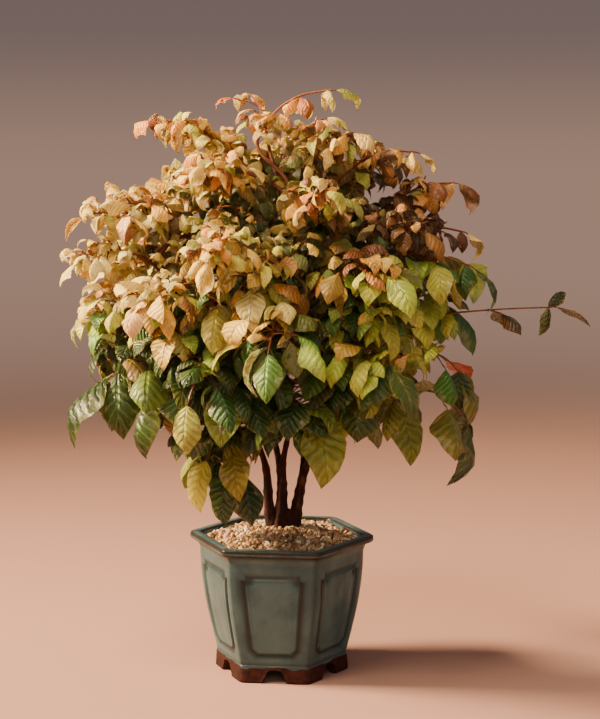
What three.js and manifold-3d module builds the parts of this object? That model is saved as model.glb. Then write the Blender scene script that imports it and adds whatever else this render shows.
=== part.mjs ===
// Heavenly bamboo bonsai: a clump of canes with compound leaves, in a six-sided glazed pot.
// Millimetres, +Z up. The viewer stands at -Y. The pot's axis is the origin until the last lines,
// which move the whole plant so that the middle of its bounding box stands over the origin.
import * as THREE from "three";
import { mergeVertices } from "three/addons/utils/BufferGeometryUtils.js";
import Module from "manifold-3d";

const wasm = await Module();
wasm.setup();

const DEG = Math.PI / 180;
const SEAT_GAP = 0.3; // left between a piece and what carries it

// Pot sizes. A six-sided form is measured by its corner radius.
const POT_TURN = -6.7 * DEG; // the front face looks a little to the left
const POT_SIDES = 6;
const SIDE_ANGLE = (2 * Math.PI) / POT_SIDES;
const APOTHEM = Math.cos(SIDE_ANGLE / 2); // a face's distance from the axis, over its corner radius
const FOOT = { height: 15, corner: 58.3, inner: 49, taper: 0.9 };
const ARCH = { width: 19, height: 11.5 }; // the opening between two feet
const BODY = { base: 56.5, shoulder: 71.3, top: 104, steps: 2 };
const LIP = { corner: 80, bottom: 109.5, round: 2 };
const POT_HEIGHT = 117.5;
const CAVITY = [
  [50, 23],
  [57, 40],
  [62.5, 66],
  [66, 96], // the wall is upright above this
];
const [[, CAVITY_FLOOR]] = CAVITY;
const [CAVITY_MOUTH] = CAVITY[CAVITY.length - 1];
const DRAIN = { radius: 9, sides: 16 };
const PANEL = { low: 24, high: 94, lowHalf: 20, highHalf: 25, notch: 5, line: 2.2, depth: 1.5 };
const FACE_REACH = [30, 90]; // from inside the wall to outside the lip, for what is cut out of a face

// Soil and gravel sizes.
const MESH = { side: 27, thick: 1, bars: 3, bar: 2.4 };
const SOIL_TOP = 106;
const WALL_GAP = (1.5 * SEAT_GAP) / APOTHEM; // between the filling's corners and the wall's
// Gravel stands `mound` higher in the middle than at its edge, and each point is raised or sunk.
const GRAVEL = { edge: 112, mound: 12.5, shape: 1.4, bump: 1.5, rings: 6, perSide: 6, seed: 7 };

// Woody clump.
const ROOTSTOCK = { x: 1, y: 0.5, halfWidth: 14.5, halfDepth: 9, sides: 12, low: 72, neck: 123, top: 141 };
const ROOTSTOCK_TAPER = 0.62; // its top, over its neck
const CANE = { rings: 9, sides: 5, checks: 80 };
// Points that each cane passes through. The second and third share their lower part, and so do the
// fourth and fifth: three stems are seen above the gravel, and two of them fork.
const CANE_TIP = 1.1; // radius at every cane's end
const CANES = [
  {
    thick: 3.2,
    points: [[-6, 1, 108], [-11, 1, 148], [-17, -2, 188], [-42, -14, 252], [-80, -28, 316], [-106, -34, 362]],
  },
  {
    thick: 3.6,
    points: [[-1, 3, 108], [0, 3, 150], [-1, 4, 176], [-10, 16, 216], [-26, 40, 296], [-50, 66, 402]],
  },
  {
    thick: 3.6,
    points: [[1, 0, 108], [0, 0, 150], [1, -2, 176], [7, -14, 220], [0, -38, 316], [8, -56, 418]],
  },
  {
    thick: 3.5,
    points: [[8, 3, 108], [14, 3, 148], [19, 5, 170], [24, 22, 215], [42, 52, 296], [66, 76, 372]],
  },
  {
    thick: 3.5,
    points: [[9, 0, 108], [14, 0, 148], [20, -1, 170], [36, -8, 205], [78, -20, 278], [116, -24, 346]],
  },
];
const TWIG = { thick: 1.6, thin: 1.25, rings: 4, sides: 3, checks: 30 };
// A twig starts on the stretch `from`..`to` of a cane, at least `apart` from the next, and climbs by
// `climb` or more where it can.
const TWIG_START = { from: 0.42, to: 0.98, places: 24, apart: 5, climb: 26, lean: 1.5 };

// Leaves.
const SEED = 20;
const RACHIS = { thick: 1.2, radii: [1.2, 1.2, 1.2, 1.0], steps: 3 };
const STALK = { thick: 0.85, waist: 0.45, length: 19, angle: 66 };
const FOOTSTALK = { thick: 0.4, length: 2 };
const LEAFLET = { length: 49, width: 0.54, thick: 1.2, fold: 0.22, petiole: 8 };
const BLADE_STATIONS = [0.3, 0.66];
const SPREAD = 80; // degrees between the middle leaflet of three and its neighbours
// A leaflet starts at its stalk's pitch, at most `pitch`, less `droop` (or `sideDroop` beside the
// middle one), and arches down until its tip hangs `hang` below level. Each new try is smaller.
const POISE = { pitch: 20, droop: 4, sideDroop: 12, hang: 66, least: 24, twisted: 30 };
const SIDE_SIZE = 0.86; // of a leaflet beside the middle one
const SHRINK = 0.97;
const GROUP = { sideSize: 0.92, slope: 0.6, sag: 6 }; // side stalks: leaflet size, and their pitch
const TRIES = 12;
const GAP = { leaf: 5.2, own: 3.4, wood: 3.4, rachis: 4.6 };
const SAMPLES = { along: [0.16, 0.28, 0.4, 0.52, 0.64, 0.76, 0.88], across: [-1, -0.5, 0, 0.5, 1] };
const CROWN = { x: -6, y: 0, z: 326, wide: 140, deep: 147, high: 150 };
// The filling leaves stand round the crown in a sunflower's spiral, from its top down to the sine
// `lowest` of the angle above its middle. The higher a leaf stands, the steeper it climbs.
const FILL = { count: 26, lowest: -0.5, start: 40, spiral: 137.508 };
const FILL_LEAF = { rise: 34, steeper: 38, bend: 62, length: 66 };

// Leaves that give the plant its outline: where the leaf's own stalk ends, which way it heads and
// climbs (degrees), how far it bends down, its length, and whether its side stalks carry leaflets in
// threes or one each. A twisted leaf holds its side leaflets above and below its stalk.
const OUTLINE_LEAVES = [
  { end: [38, -18, 490], heading: 4, rise: 66, bend: 66, length: 70, triples: true, size: 0.9 },
  { end: [108, -8, 440], heading: 8, rise: 50, bend: 62, length: 62, triples: true, size: 0.9 },
  { end: [-96, -30, 466], heading: 176, rise: 58, bend: 60, length: 62, triples: true, size: 0.9 },
  { end: [-26, 30, 487], heading: 112, rise: 66, bend: 56, length: 46, triples: false, size: 0.85 },
  { end: [-148, -34, 391], heading: 184, rise: 42, bend: 52, length: 60, triples: true, size: 0.95 },
  { end: [-132, -8, 346], heading: 180, rise: 26, bend: 44, length: 60, triples: false, size: 1.05 },
  { end: [-133, -46, 262], heading: 192, rise: 14, bend: 40, length: 64, triples: true, size: 1.25 },
  { end: [-104, -66, 250], heading: 214, rise: 10, bend: 58, length: 54, triples: true, size: 1.0 },
  { end: [-58, -46, 196], heading: 216, rise: -8, bend: 46, length: 44, triples: true, size: 1.05 },
  { end: [26, -62, 236], heading: -68, rise: 6, bend: 60, length: 40, triples: false, size: 1.2 },
  { end: [92, -58, 240], heading: -40, rise: 8, bend: 56, length: 48, triples: true, size: 1.0 },
  { end: [152, -20, 222], heading: -12, rise: 24, bend: 84, length: 58, triples: false, size: 1.1 },
  { end: [222, -18, 312], heading: 0, rise: 7, bend: 6, length: 104, triples: false, size: 0.8, twist: 58 },
  { end: [140, 2, 414], heading: 8, rise: 50, bend: 54, length: 58, triples: false, size: 1.0 },
  { end: [150, -46, 350], heading: -18, rise: 30, bend: 56, length: 56, triples: true, size: 1.0 },
];

// Colours. A leaf's own depends on where its stalk ends: it is new above `top`, or above `left` in
// the part of the crown that `leftEdge` bounds, and of the new ones those beyond `shade` are bronze.
const COLOURS = {
  glaze: 0x5f6a5c,
  plastic: 0x222222,
  soil: 0x3b2a1c,
  gravel: 0x9c7a55,
  bark: 0x3a1f16,
  cream: 0xdcae7c,
  bronze: 0x8f5a38,
  yellow: 0xb0a83e,
  green: 0x4f6a28,
};
const NEW_GROWTH = { top: 352, left: 312, leftEdge: -60, shade: 45 };
const OLD_GROWTH = 268; // leaves that end below this are deep green

// Solids.

// A closed geometry as a solid that can be joined and cut.
function solidOf(geometry) {
  const bare = geometry.index ? geometry.clone() : geometry;
  bare.deleteAttribute("normal");
  bare.deleteAttribute("uv");
  const merged = mergeVertices(bare, 1e-4);
  return new wasm.Manifold(
    new wasm.Mesh({
      numProp: 3,
      vertProperties: merged.attributes.position.array,
      triVerts: new Uint32Array(merged.index.array),
    }),
  );
}

// The largest outer body of a solid: loose scraps and sealed hollows are left out.
function mainBody(solid) {
  return solid.decompose().reduce((best, body) => (body.volume() > best.volume() ? body : best));
}

function geometryOf(solid) {
  const mesh = solid.getMesh();
  return new THREE.BufferGeometry()
    .setAttribute("position", new THREE.BufferAttribute(mesh.vertProperties.slice(), 3))
    .setIndex(new THREE.BufferAttribute(mesh.triVerts.slice(), 1));
}

function meshOf(name, solid, colour, roughness = 0.6) {
  const geometry = geometryOf(solid).toNonIndexed();
  geometry.computeVertexNormals();
  const material = new THREE.MeshStandardMaterial({ color: colour, roughness, metalness: 0 });
  const mesh = new THREE.Mesh(geometry, material);
  mesh.name = name;
  return mesh;
}

// A closed geometry from points and faces, each face a list of point numbers turning left.
function faceted(points, faces) {
  const triangles = faces.flatMap((f) => f.slice(2).flatMap((_, i) => [f[0], f[i + 1], f[i + 2]]));
  return new THREE.BufferGeometry()
    .setAttribute("position", new THREE.Float32BufferAttribute(points.flatMap((p) => [p.x, p.y, p.z]), 3))
    .setIndex(triangles);
}

// A six-sided turned solid. The profile holds [corner radius, height] and turns left round its area.
function hexTurned(profile) {
  const outline = profile.map(([radius, height]) => new THREE.Vector2(radius, height));
  const geometry = new THREE.LatheGeometry(outline, POT_SIDES);
  geometry.rotateX(Math.PI / 2);
  geometry.rotateZ(SIDE_ANGLE / 2 + POT_TURN);
  return solidOf(geometry);
}

// A prism through the wall of the pot's face number `side`, from a shape drawn on that face.
function facePrism(shape, side) {
  const [from, to] = FACE_REACH;
  const geometry = new THREE.ExtrudeGeometry(shape, {
    depth: to - from,
    bevelEnabled: false,
    curveSegments: 2,
  });
  geometry.translate(0, 0, from);
  geometry.rotateX(Math.PI / 2); // the prism now runs towards -Y, with the shape's y upright
  geometry.rotateZ(Math.PI / 2 + POT_TURN + (side + 0.5) * SIDE_ANGLE);
  return solidOf(geometry);
}

// A tapering tube along rings of { at, radius }, with flat ends. A ring may also hold the direction
// `along` that it faces.
function tube(rings, sides) {
  const points = [];
  const faces = [];
  let across = new THREE.Vector3(0, 1, 0);
  rings.forEach((ring, i) => {
    const before = rings[Math.max(i - 1, 0)].at;
    const after = rings[Math.min(i + 1, rings.length - 1)].at;
    const along = ring.along || after.clone().sub(before).normalize();
    if (i === 0 && Math.abs(along.dot(across)) > 0.9) across.set(1, 0, 0);
    across = across.clone().addScaledVector(along, -along.dot(across)).normalize();
    const upward = along.clone().cross(across);
    for (let k = 0; k < sides; k++) {
      const a = (2 * Math.PI * k) / sides;
      points.push(
        ring.at
          .clone()
          .addScaledVector(across, ring.radius * Math.cos(a))
          .addScaledVector(upward, ring.radius * Math.sin(a)),
      );
    }
  });
  for (let i = 0; i + 1 < rings.length; i++)
    for (let k = 0; k < sides; k++) {
      const next = (k + 1) % sides;
      const low = i * sides;
      faces.push([low + k, low + next, low + sides + next, low + sides + k]);
    }
  const last = (rings.length - 1) * sides;
  const count = [...Array(sides).keys()];
  faces.push(count.map((k) => sides - 1 - k), count.map((k) => last + k));
  return solidOf(faceted(points, faces));
}

// Pot.

// The body's outside as [corner radius, height]: a quarter sine from the feet to the shoulder.
function bodyProfile(offset = 0) {
  return Array.from({ length: BODY.steps + 1 }, (_, i) => {
    const share = i / BODY.steps;
    const corner = BODY.base + (BODY.shoulder - BODY.base) * Math.sin((Math.PI / 2) * share);
    return [corner + offset, FOOT.height + (BODY.top - FOOT.height) * share];
  });
}

// The panel's outline on a face: its lower corners are cut off and its upper corners stepped in.
// `inset` shrinks it all round.
function panelShape(inset) {
  const { low, high, lowHalf, highHalf, notch } = PANEL;
  const step = notch + inset * 0.4;
  const [bottom, top] = [low + inset, high - inset];
  const [b, t] = [lowHalf - inset, highHalf - inset];
  const half = [
    [b - step, bottom],
    [b, bottom + step],
    [t, top - step],
    [t - step, top - step * 0.6],
    [t - step, top],
  ];
  const mirrored = half.map(([x, y]) => [-x, y]).reverse();
  return new THREE.Shape([...half, ...mirrored].map(([x, y]) => new THREE.Vector2(x, y)));
}

// The opening between two bracket feet: upright sides that close in a low pointed curve.
function archShape() {
  const [half, top] = [ARCH.width / 2, ARCH.height];
  const below = -1;
  const shape = new THREE.Shape();
  shape.moveTo(-half, below);
  shape.lineTo(half, below);
  shape.quadraticCurveTo(half * 0.95, top * 0.7, half * 0.45, top * 0.8);
  shape.lineTo(0, top);
  shape.lineTo(-half * 0.45, top * 0.8);
  shape.quadraticCurveTo(-half * 0.95, top * 0.7, -half, below);
  return shape;
}

// The shell of the pot without its feet: body, lip and cavity in one profile.
function potShell() {
  const { corner, bottom, round } = LIP;
  const floor = FOOT.height - 1;
  return hexTurned([
    [0, floor],
    [BODY.base - 1, floor],
    ...bodyProfile(),
    [corner - 1.5 * round, bottom - round],
    [corner, bottom],
    [corner, POT_HEIGHT - round],
    [corner - round, POT_HEIGHT],
    [CAVITY_MOUTH + round, POT_HEIGHT],
    [CAVITY_MOUTH, POT_HEIGHT - round],
    ...[...CAVITY].reverse(),
    [0, CAVITY_FLOOR],
  ]);
}

function makePot() {
  const { height, corner, inner, taper } = FOOT;
  const sunk = height + 0.5; // the feet run this far up into the body
  const feet = hexTurned([
    [inner, 0],
    [corner, 0],
    [corner - taper, height - 1.5],
    [BODY.base, sunk],
    [inner, sunk],
    [inner, 0],
  ]);
  const skin = hexTurned([
    ...bodyProfile(PANEL.depth),
    ...bodyProfile(-PANEL.depth / APOTHEM).reverse(),
    [BODY.base + PANEL.depth, height],
  ]);
  let pot = potShell().add(feet);
  for (let side = 0; side < POT_SIDES; side++) {
    const frame = facePrism(panelShape(0), side).subtract(facePrism(panelShape(PANEL.line), side));
    pot = pot.subtract(frame.intersect(skin)).subtract(facePrism(archShape(), side));
  }
  const drain = new THREE.CylinderGeometry(DRAIN.radius, DRAIN.radius, CAVITY_FLOOR, DRAIN.sides);
  drain.rotateX(Math.PI / 2);
  drain.translate(0, 0, CAVITY_FLOOR);
  return mainBody(pot.subtract(solidOf(drain)));
}

// Filling.

function box(width, depth, height, bottom) {
  const geometry = new THREE.BoxGeometry(width, depth, height);
  geometry.translate(0, 0, bottom + height / 2);
  return geometry;
}

// A square of plastic mesh over the drain hole, under the soil.
function makeMesh() {
  const bottom = CAVITY_FLOOR + SEAT_GAP;
  const { side, thick, bars, bar } = MESH;
  const pitch = (side - bar) / (bars - 1);
  const start = (bar - side) / 2;
  const strips = [];
  for (let i = 0; i < bars; i++) {
    const [along, across] = [box(side, bar, thick, bottom), box(bar, side, thick, bottom)];
    along.translate(0, start + i * pitch, 0);
    across.translate(start + i * pitch, 0, 0);
    strips.push(solidOf(along), solidOf(across));
  }
  return wasm.Manifold.union(strips);
}

// The rootstock's oval outline as an upright form between two heights, grown by `extra` all round.
function rootstockForm(extra, low, high, taper = 1) {
  const { x, y, halfWidth, halfDepth, sides } = ROOTSTOCK;
  const geometry = new THREE.CylinderGeometry(taper, 1, high - low, sides);
  geometry.rotateX(Math.PI / 2);
  geometry.scale(halfWidth + extra, halfDepth + extra, 1);
  geometry.translate(x, y, (low + high) / 2);
  return solidOf(geometry);
}

// The hole that the rootstock stands in, open at the top.
function rootHole() {
  return rootstockForm(1.5 * SEAT_GAP, ROOTSTOCK.low - SEAT_GAP, ROOTSTOCK.top);
}

function makeSoil() {
  const wall = CAVITY.map(([corner, height]) => [corner - WALL_GAP, height]);
  wall[0][1] += SEAT_GAP;
  const [mouth] = wall[wall.length - 1];
  const soil = hexTurned([[0, CAVITY_FLOOR + SEAT_GAP], ...wall, [mouth, SOIL_TOP], [0, SOIL_TOP]]);
  const room = MESH.side + 2 * SEAT_GAP;
  const pocket = solidOf(box(room, room, MESH.thick + 2 * SEAT_GAP, CAVITY_FLOOR));
  return soil.subtract(rootHole()).subtract(pocket);
}

// Gravel heaped towards the canes: a grid of rings on the hexagon, each point raised or sunk at random.
function makeGravel() {
  const draw = seeded(GRAVEL.seed);
  const sectors = POT_SIDES * GRAVEL.perSide;
  const bottom = SOIL_TOP + SEAT_GAP;
  const points = [];
  const faces = [];
  const corner = (k) => {
    const a = POT_TURN + k * SIDE_ANGLE;
    return new THREE.Vector3(Math.cos(a), Math.sin(a), 0).multiplyScalar(CAVITY_MOUTH - WALL_GAP);
  };
  const rim = Array.from({ length: sectors }, (_, i) => {
    const side = Math.floor(i / GRAVEL.perSide);
    return corner(side).lerp(corner(side + 1), (i % GRAVEL.perSide) / GRAVEL.perSide);
  });
  for (let ring = GRAVEL.rings; ring >= 1; ring--)
    rim.forEach((edge) => {
      const share = ring / GRAVEL.rings;
      const heap = GRAVEL.edge + GRAVEL.mound * Math.cos((Math.PI / 2) * share) ** GRAVEL.shape;
      const bump = ring === GRAVEL.rings ? 0 : GRAVEL.bump * (2 * draw() - 1);
      points.push(edge.clone().multiplyScalar(share).setZ(heap + bump));
    });
  points.push(new THREE.Vector3(0, 0, GRAVEL.edge + GRAVEL.mound));
  const under = points.length;
  rim.forEach((edge) => points.push(edge.clone().setZ(bottom)));
  points.push(new THREE.Vector3(0, 0, bottom));
  for (let i = 0; i < sectors; i++) {
    const next = (i + 1) % sectors;
    for (let ring = 0; ring + 1 < GRAVEL.rings; ring++) {
      const out = ring * sectors;
      faces.push([out + i, out + next, out + sectors + next, out + sectors + i]);
    }
    const inner = (GRAVEL.rings - 1) * sectors;
    faces.push([inner + i, inner + next, under - 1]);
    faces.push([under + i, under + next, next, i]);
    faces.push([points.length - 1, under + next, under + i]);
  }
  return mainBody(solidOf(faceted(points, faces)).subtract(rootHole()));
}

// Growth rule.

// A seeded draw of numbers from 0 to 1: the same plant grows every time.
function seeded(seed) {
  let state = seed >>> 0;
  return () => {
    state = (state + 0x6d2b79f5) >>> 0;
    let t = state;
    t = Math.imul(t ^ (t >>> 15), t | 1);
    t ^= t + Math.imul(t ^ (t >>> 7), t | 61);
    return ((t ^ (t >>> 14)) >>> 0) / 4294967296;
  };
}

// The unit vector of a heading (from +X towards +Y) and a pitch above level, both in degrees.
function direction(heading, pitch) {
  const [h, p] = [heading * DEG, pitch * DEG];
  return new THREE.Vector3(Math.cos(p) * Math.cos(h), Math.cos(p) * Math.sin(h), Math.sin(p));
}

// A point of a smooth curve through all the given points.
function through(points, t) {
  const span = Math.min(Math.floor(t * (points.length - 1)), points.length - 2);
  const s = t * (points.length - 1) - span;
  const [squared, cubed] = [s * s, s ** 3];
  const weights = [
    -s + 2 * squared - cubed,
    2 - 5 * squared + 3 * cubed,
    s + 4 * squared - 3 * cubed,
    cubed - squared,
  ];
  const at = new THREE.Vector3();
  weights.forEach((weight, i) => {
    const k = Math.min(Math.max(span + i - 1, 0), points.length - 1);
    at.addScaledVector(points[k], weight / 2);
  });
  return at;
}

function bezier(points, t) {
  const weights = [(1 - t) ** 3, 3 * t * (1 - t) ** 2, 3 * t * t * (1 - t), t ** 3];
  const at = new THREE.Vector3();
  points.forEach((p, i) => at.addScaledVector(p, weights[i]));
  return at;
}

// A leaf's own stalk: it starts at `at`, and its pitch falls evenly by `bend` over its length.
function rachisOf(leaf) {
  const rings = [{ at: leaf.at.clone(), heading: leaf.heading, pitch: leaf.rise }];
  for (let i = 0; i < RACHIS.steps; i++) {
    const middle = (i + 0.5) / RACHIS.steps;
    const step = direction(leaf.heading, leaf.rise - leaf.bend * middle);
    const share = (i + 1) / RACHIS.steps;
    rings.push({
      at: rings[i].at.clone().addScaledVector(step, leaf.length / RACHIS.steps),
      heading: leaf.heading,
      pitch: leaf.rise - leaf.bend * share,
    });
  }
  return rings;
}

// Where a leaf's stalk ends, seen from its start.
function reachOf(leaf) {
  const rings = rachisOf({ ...leaf, at: new THREE.Vector3() });
  return rings[RACHIS.steps].at;
}

// The twig that carries a leaf: it leaves the nearest free place on a cane, and ends in line with the
// leaf. `taken` lists the places where twigs already start.
function twigOf(leaf, taken) {
  const { from, to, places, apart, climb, lean } = TWIG_START;
  let best = { cost: Infinity };
  for (const cane of CANES) {
    const curve = cane.points.map((p) => new THREE.Vector3(...p));
    for (let step = 0; step <= places; step++) {
      const t = from + ((to - from) * step) / places;
      const at = through(curve, t);
      if (taken.some((other) => other.distanceTo(at) < apart)) continue;
      const cost = at.distanceTo(leaf.at) + Math.max(0, climb - (leaf.at.z - at.z));
      if (cost < best.cost) best = { cost, at, along: through(curve, t + 0.02).sub(at).normalize() };
    }
  }
  const aim = direction(leaf.heading, leaf.rise);
  const span = best.at.distanceTo(leaf.at) / 3;
  const end = leaf.at.clone().addScaledVector(aim, -SEAT_GAP);
  const outward = leaf.at.clone().sub(best.at).setLength(lean).add(best.along).setLength(span);
  const before = end.clone().addScaledVector(aim, -span);
  return [best.at, best.at.clone().add(outward), before, end];
}

// The groups of three leaflets of one leaf: one at its tip and one on each side stalk. A group holds
// the junction `at`, its heading and pitch, and the seat of its middle leaflet, on a short stalk.
function groupsOf(leaf, about) {
  const group = (from, at, heading, pitch, size, full) => {
    const seat = at.clone().addScaledVector(direction(heading, pitch), LEAFLET.petiole * size);
    return { from, at, seat, heading, pitch, size, full };
  };
  const { rings, size } = leaf;
  const tip = rings[RACHIS.steps];
  const groups = [group(tip.at, tip.at, tip.heading, tip.pitch, size, true)];
  const [below, above] = [rings[1], rings[2]];
  const at = below.at.clone().lerp(above.at, 0.5);
  const pitch = (below.pitch + above.pitch) / 2;
  for (const turn of [1, -1]) {
    const side = leaf.heading + turn * (STALK.angle + about(8));
    const slope = pitch * GROUP.slope - GROUP.sag + about(8);
    const end = at.clone().addScaledVector(direction(side, slope), STALK.length * size);
    groups.push(group(at, end, side, slope, size * GROUP.sideSize, leaf.triples));
  }
  return groups;
}

// The directions across a leaflet's blade and out of its upper face, at u along its midrib.
function bladeFrame({ heading, pitch, arch, roll }, u) {
  const h = heading * DEG;
  const side = new THREE.Vector3(-Math.sin(h), Math.cos(h), 0);
  const normal = direction(heading, pitch - arch * u + 90);
  return {
    across: side.clone().multiplyScalar(Math.cos(roll)).addScaledVector(normal, Math.sin(roll)),
    facing: normal.clone().multiplyScalar(Math.cos(roll)).addScaledVector(side, -Math.sin(roll)),
  };
}

// A leaflet's blade. u runs from base to tip and v from -1 to 1 across; the midrib arches down in an
// upright plane, the blade is rolled about it, and its two halves fold up (or down) along it.
function bladePoint(leaflet, u, v, lift = 0) {
  const { base, heading, pitch, arch, fold, length, width } = leaflet;
  const [h, p, a] = [heading * DEG, pitch * DEG, arch * DEG];
  const now = p - a * u;
  const out = (length / a) * (Math.sin(p) - Math.sin(now));
  const up = (length / a) * (Math.cos(now) - Math.cos(p));
  const { across, facing } = bladeFrame(leaflet, u);
  const half = (width / 2) * bladeWidth(u);
  return base
    .clone()
    .add(new THREE.Vector3(out * Math.cos(h), out * Math.sin(h), up))
    .addScaledVector(across, v * half * Math.cos(fold))
    .addScaledVector(facing, Math.abs(v) * half * Math.sin(fold) + lift);
}

// Half-width along the blade, 1 at its widest: it swells from the base and draws out to a long tip.
function bladeWidth(u) {
  return 3.91 * u ** 0.85 * (1 - u) ** 1.15;
}

// Points all over a blade, for keeping leaflets apart. The first is its middle.
function bladeSamples(leaflet) {
  const samples = [bladePoint(leaflet, 0.5, 0), bladePoint(leaflet, 1, 0)];
  for (const u of SAMPLES.along) for (const v of SAMPLES.across) samples.push(bladePoint(leaflet, u, v));
  return samples;
}

// Whether every point keeps its distance from every obstacle { at, radius, owner }.
function clearOf(points, obstacles, owner, gap, ownGap) {
  return obstacles.every((obstacle) => {
    const need = (obstacle.owner === owner ? ownGap : gap) + obstacle.radius;
    return points.every((p) => p.distanceToSquared(obstacle.at) > need * need);
  });
}

function alongLine(from, to, count) {
  return Array.from({ length: count }, (_, i) => from.clone().lerp(to, (i + 1) / count));
}

// Grows the plant: canes, then each leaf's twig and stalks, then the leaflets. What would touch
// something of another leaf is drawn again, and left out if it never comes clear.
function grow() {
  const draw = seeded(SEED);
  const about = (amount) => amount * (2 * draw() - 1);
  const wood = []; // { at, radius, owner } along every cane and twig
  const stalks = []; // the same along every green stalk
  for (const cane of CANES) {
    const curve = cane.points.map((p) => new THREE.Vector3(...p));
    for (let i = 0; i <= CANE.checks; i++)
      wood.push({ at: through(curve, i / CANE.checks), radius: cane.thick, owner: -1 });
  }
  const leaves = [];
  const plant = (leaf) => {
    const id = leaves.length;
    const taken = leaves.map((other) => other.twig[0]);
    const grown = { ...leaf, id, twig: twigOf(leaf, taken), rings: rachisOf(leaf) };
    grown.groups = groupsOf(grown, about);
    const green = [];
    grown.rings.slice(1).forEach((ring, i) => green.push(...alongLine(grown.rings[i].at, ring.at, 8)));
    grown.groups.forEach(({ from, at, seat }) => green.push(...alongLine(from, at, 6), seat));
    const woody = Array.from({ length: TWIG.checks + 1 }, (_, i) => bezier(grown.twig, i / TWIG.checks));
    const apart = (points, obstacles) => clearOf(points, obstacles, id, GAP.rachis, GAP.rachis);
    if (!apart(green, wood) || !apart(green, stalks) || !apart(woody, stalks)) return false;
    woody.forEach((at) => wood.push({ at, radius: TWIG.thick, owner: id }));
    green.forEach((at) => stalks.push({ at, radius: RACHIS.thick, owner: id }));
    leaves.push(grown);
    return true;
  };
  for (const leaf of OUTLINE_LEAVES) {
    const at = new THREE.Vector3(...leaf.end).sub(reachOf(leaf));
    plant({ ...leaf, at });
  }
  for (let k = 0; k < FILL.count; k++)
    for (let attempt = 0; attempt < TRIES; attempt++) {
      const sine = 1 - ((k + 0.5) / FILL.count) * (1 - FILL.lowest) + about(0.05);
      const level = Math.sqrt(Math.max(0, 1 - sine * sine));
      const turn = k * FILL.spiral + FILL.start + about(9 + 2 * attempt);
      const leaf = {
        heading: turn + about(16),
        rise: FILL_LEAF.rise + FILL_LEAF.steeper * sine + about(8),
        bend: FILL_LEAF.bend + about(12),
        length: FILL_LEAF.length + about(10),
        triples: true,
        size: 1.0 + about(0.1),
      };
      const end = new THREE.Vector3(
        CROWN.x + CROWN.wide * level * Math.cos(turn * DEG),
        CROWN.y + CROWN.deep * level * Math.sin(turn * DEG),
        CROWN.z + CROWN.high * sine,
      );
      leaf.at = end.sub(reachOf(leaf));
      if (plant(leaf)) break;
    }
  const blades = [];
  const obstacles = [...wood, ...stalks];
  for (const leaf of leaves) growLeaflets(leaf, obstacles, blades, about);
  return leaves;
}

// One leaf's leaflets, group by group: the middle one, then its two neighbours.
function growLeaflets(leaf, obstacles, blades, about) {
  for (const group of leaf.groups)
    for (const turn of group.full ? [0, 1, -1] : [0])
      for (let attempt = 0; attempt < TRIES; attempt++) {
        const spread = turn * (SPREAD + about(12));
        const twist = (leaf.twist || 0) * DEG;
        const level = Math.min(group.pitch, POISE.pitch) - (turn ? POISE.sideDroop : POISE.droop);
        const leaflet = {
          base: turn ? group.at : group.seat,
          heading: group.heading + spread * Math.cos(twist) + about(6 + 2 * attempt),
          pitch: level + spread * Math.sin(twist) + about(10 + 3 * attempt),
          roll: about(0.35),
          fold: LEAFLET.fold * about(1.6),
        };
        const hang = () => Math.max(POISE.least, leaflet.pitch + POISE.hang + about(20));
        leaflet.arch = twist ? POISE.twisted : hang();
        const size = group.size * (turn ? SIDE_SIZE : 1) * SHRINK ** attempt;
        leaflet.length = LEAFLET.length * size * (1 + about(0.13));
        leaflet.width = leaflet.length * LEAFLET.width * (1 + about(0.1));
        const samples = bladeSamples(leaflet);
        const near = (o) => o.at.distanceTo(samples[0]) < leaflet.length;
        const others = obstacles.filter((o) => o.owner !== leaf.id && near(o));
        if (!clearOf(samples, others, leaf.id, GAP.wood, GAP.wood)) continue;
        if (!clearOf(samples, blades.filter(near), leaf.id, GAP.leaf, GAP.own)) continue;
        samples.forEach((at) => blades.push({ at, radius: 0, owner: leaf.id }));
        group[turn ? (turn > 0 ? "left" : "right") : "middle"] = leaflet;
        break;
      }
}

// Plant solids.

function makeCaneClump(leaves) {
  const parts = [];
  for (const cane of CANES) {
    const curve = cane.points.map((p) => new THREE.Vector3(...p));
    const rings = Array.from({ length: CANE.rings }, (_, i) => {
      const t = i / (CANE.rings - 1);
      return { at: through(curve, t), radius: cane.thick + (CANE_TIP - cane.thick) * t };
    });
    parts.push(tube(rings, CANE.sides));
  }
  for (const { twig, heading, rise } of leaves) {
    const rings = Array.from({ length: TWIG.rings }, (_, i) => {
      const t = i / (TWIG.rings - 1);
      return { at: bezier(twig, t), radius: TWIG.thick + (TWIG.thin - TWIG.thick) * t };
    });
    rings[TWIG.rings - 1].along = direction(heading, rise);
    parts.push(tube(rings, TWIG.sides));
  }
  const { low, neck, top } = ROOTSTOCK;
  parts.push(rootstockForm(0, low, neck), rootstockForm(0, neck, top, ROOTSTOCK_TAPER));
  return mainBody(wasm.Manifold.union(parts));
}

// Three points round a stalk, in the frame (across, facing): its top is flat.
function stalkRing(at, across, facing, radius) {
  return [30, 150, 270].map((angle) =>
    at
      .clone()
      .addScaledVector(across, radius * Math.cos(angle * DEG))
      .addScaledVector(facing, radius * Math.sin(angle * DEG)),
  );
}

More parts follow.
